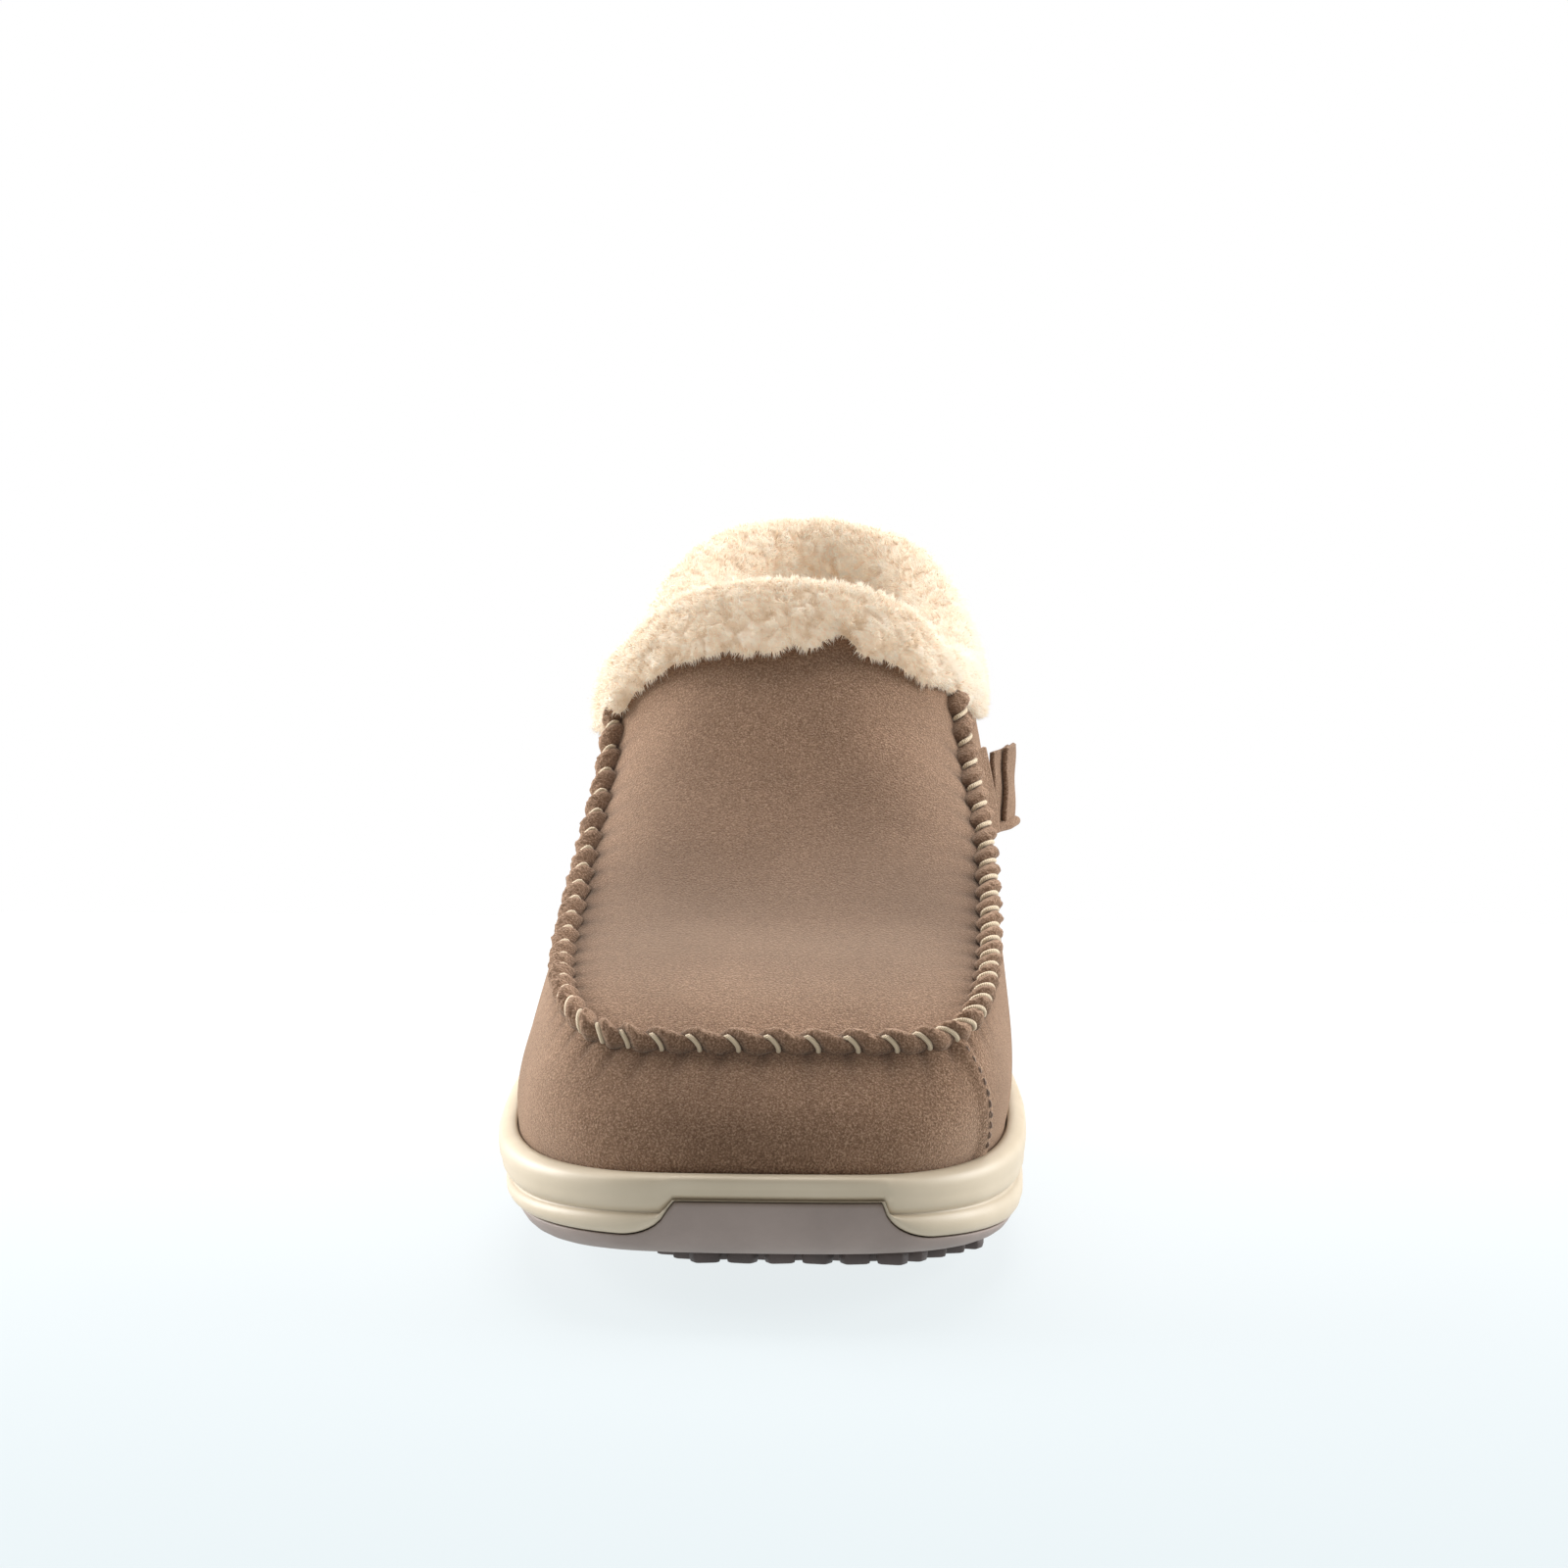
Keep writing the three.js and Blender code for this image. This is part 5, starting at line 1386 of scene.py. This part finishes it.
finishes = {
    "suede": suedeFinish({
        "fine": 2500, "patch": 38, "base": (0.208, 0.119, 0.073), "dark": (0.128, 0.071, 0.041),
        "light": (0.365, 0.235, 0.155), "paintedShade": (0.055, 0.030, 0.020), "sheen": 0.38,
        "sheenTint": (0.95, 0.77, 0.60), "bump": 0.9,
    }),
    "fleece": fleeceFinish({
        # deep and between are painted shade at the roots and between the tufts; glow is painted light
        "warm": (0.95, 0.85, 0.71), "base": (0.97, 0.89, 0.77), "light": (0.98, 0.93, 0.84),
        "deep": (0.70, 0.58, 0.44), "between": (0.93, 0.90, 0.86), "translucent": 0.45, "glow": 0.36,
    }),
    "foam": mouldedFinish("cream_foam", {
        "mottle": 60, "base": (0.505, 0.425, 0.315), "dark": (0.455, 0.38, 0.275),
        "gloss": (0.42, 0.55), "specular": 0.4, "grain": 2600, "bump": 0.12,
    }),
    "rubber": mouldedFinish("taupe_rubber", {
        "mottle": 80, "base": (0.275, 0.218, 0.192), "dark": (0.23, 0.182, 0.160),
        "gloss": (0.5, 0.65), "specular": 0.4, "grain": 2200, "bump": 0.22,
    }),
    "tread": mouldedFinish("dark_rubber", {
        "mottle": 90, "base": (0.085, 0.062, 0.056), "dark": (0.05, 0.038, 0.035),
        "gloss": (0.5, 0.7), "specular": 0.4, "grain": 1800, "bump": 0.25,
    }),
    "lacing": threadFinish("cream_thread", {
        "base": (0.68, 0.55, 0.38), "dark": (0.42, 0.31, 0.19),
        "coords": "UV", "twist": (9, 1.2, 1), "waveScale": 1.0,
    }),
    "stitch": threadFinish("brown_thread", {
        "base": (0.21, 0.13, 0.085), "dark": (0.11, 0.065, 0.042),
        "coords": "Object", "twist": (900, 900, 900), "waveScale": 1.0,
    }),
    "board": mouldedFinish("fibre_board", {
        "mottle": 300, "base": (0.50, 0.38, 0.24), "dark": (0.36, 0.26, 0.16),
        "gloss": (0.85, 0.95), "specular": 0.2, "grain": 900, "bump": 0.4,
    }),
    "bedFoam": mouldedFinish("open_foam", {
        "mottle": 500, "base": (0.42, 0.44, 0.45), "dark": (0.25, 0.26, 0.27),
        "gloss": (0.9, 1.0), "specular": 0.1, "grain": 700, "bump": 0.8,
    }),
    "stiffener": mouldedFinish("stiffener_sheet", {
        "mottle": 200, "base": (0.72, 0.71, 0.67), "dark": (0.62, 0.60, 0.56),
        "gloss": (0.5, 0.7), "specular": 0.3, "grain": 1500, "bump": 0.2,
    }),
}


def dress(thing, finish):
    # one finish all over
    thing.data.materials.clear()
    thing.data.materials.append(finishes[finish])


for piece in suedePieces + [ridge]:
    dress(piece, "suede")
for piece in furPieces:
    dress(piece, "fleece")
for piece in stitchPieces:
    dress(piece, "stitch")
dress(midsole, "foam")
dress(outsole, "rubber")
dress(lugs, "tread")
dress(thread, "lacing")
plainNodes = {
    "heel_tread": "tread", "insole_board": "board", "footbed_foam": "bedFoam",
    "toe_puff": "stiffener", "heel_counter": "stiffener",
}
for name, finish in plainNodes.items():
    dress(frame["nodes"][name], finish)


def makeFloor(values):
    # one flat sheet under the shoe
    near, back, half = -values["floorSpan"] * mm, values["floorBack"] * mm, values["floorSpan"] * mm
    mesh = bpy.data.meshes.new("floor")
    corners = [(-half, near, 0), (half, near, 0), (half, back, 0), (-half, back, 0)]
    mesh.from_pydata(corners, [], [(0, 1, 2, 3)])
    floor = bpy.data.objects.new("floor", mesh)
    scene.collection.objects.link(floor)
    mesh.materials.append(floorFinish(values))


makeFloor(studio)
print("finishes and floor")
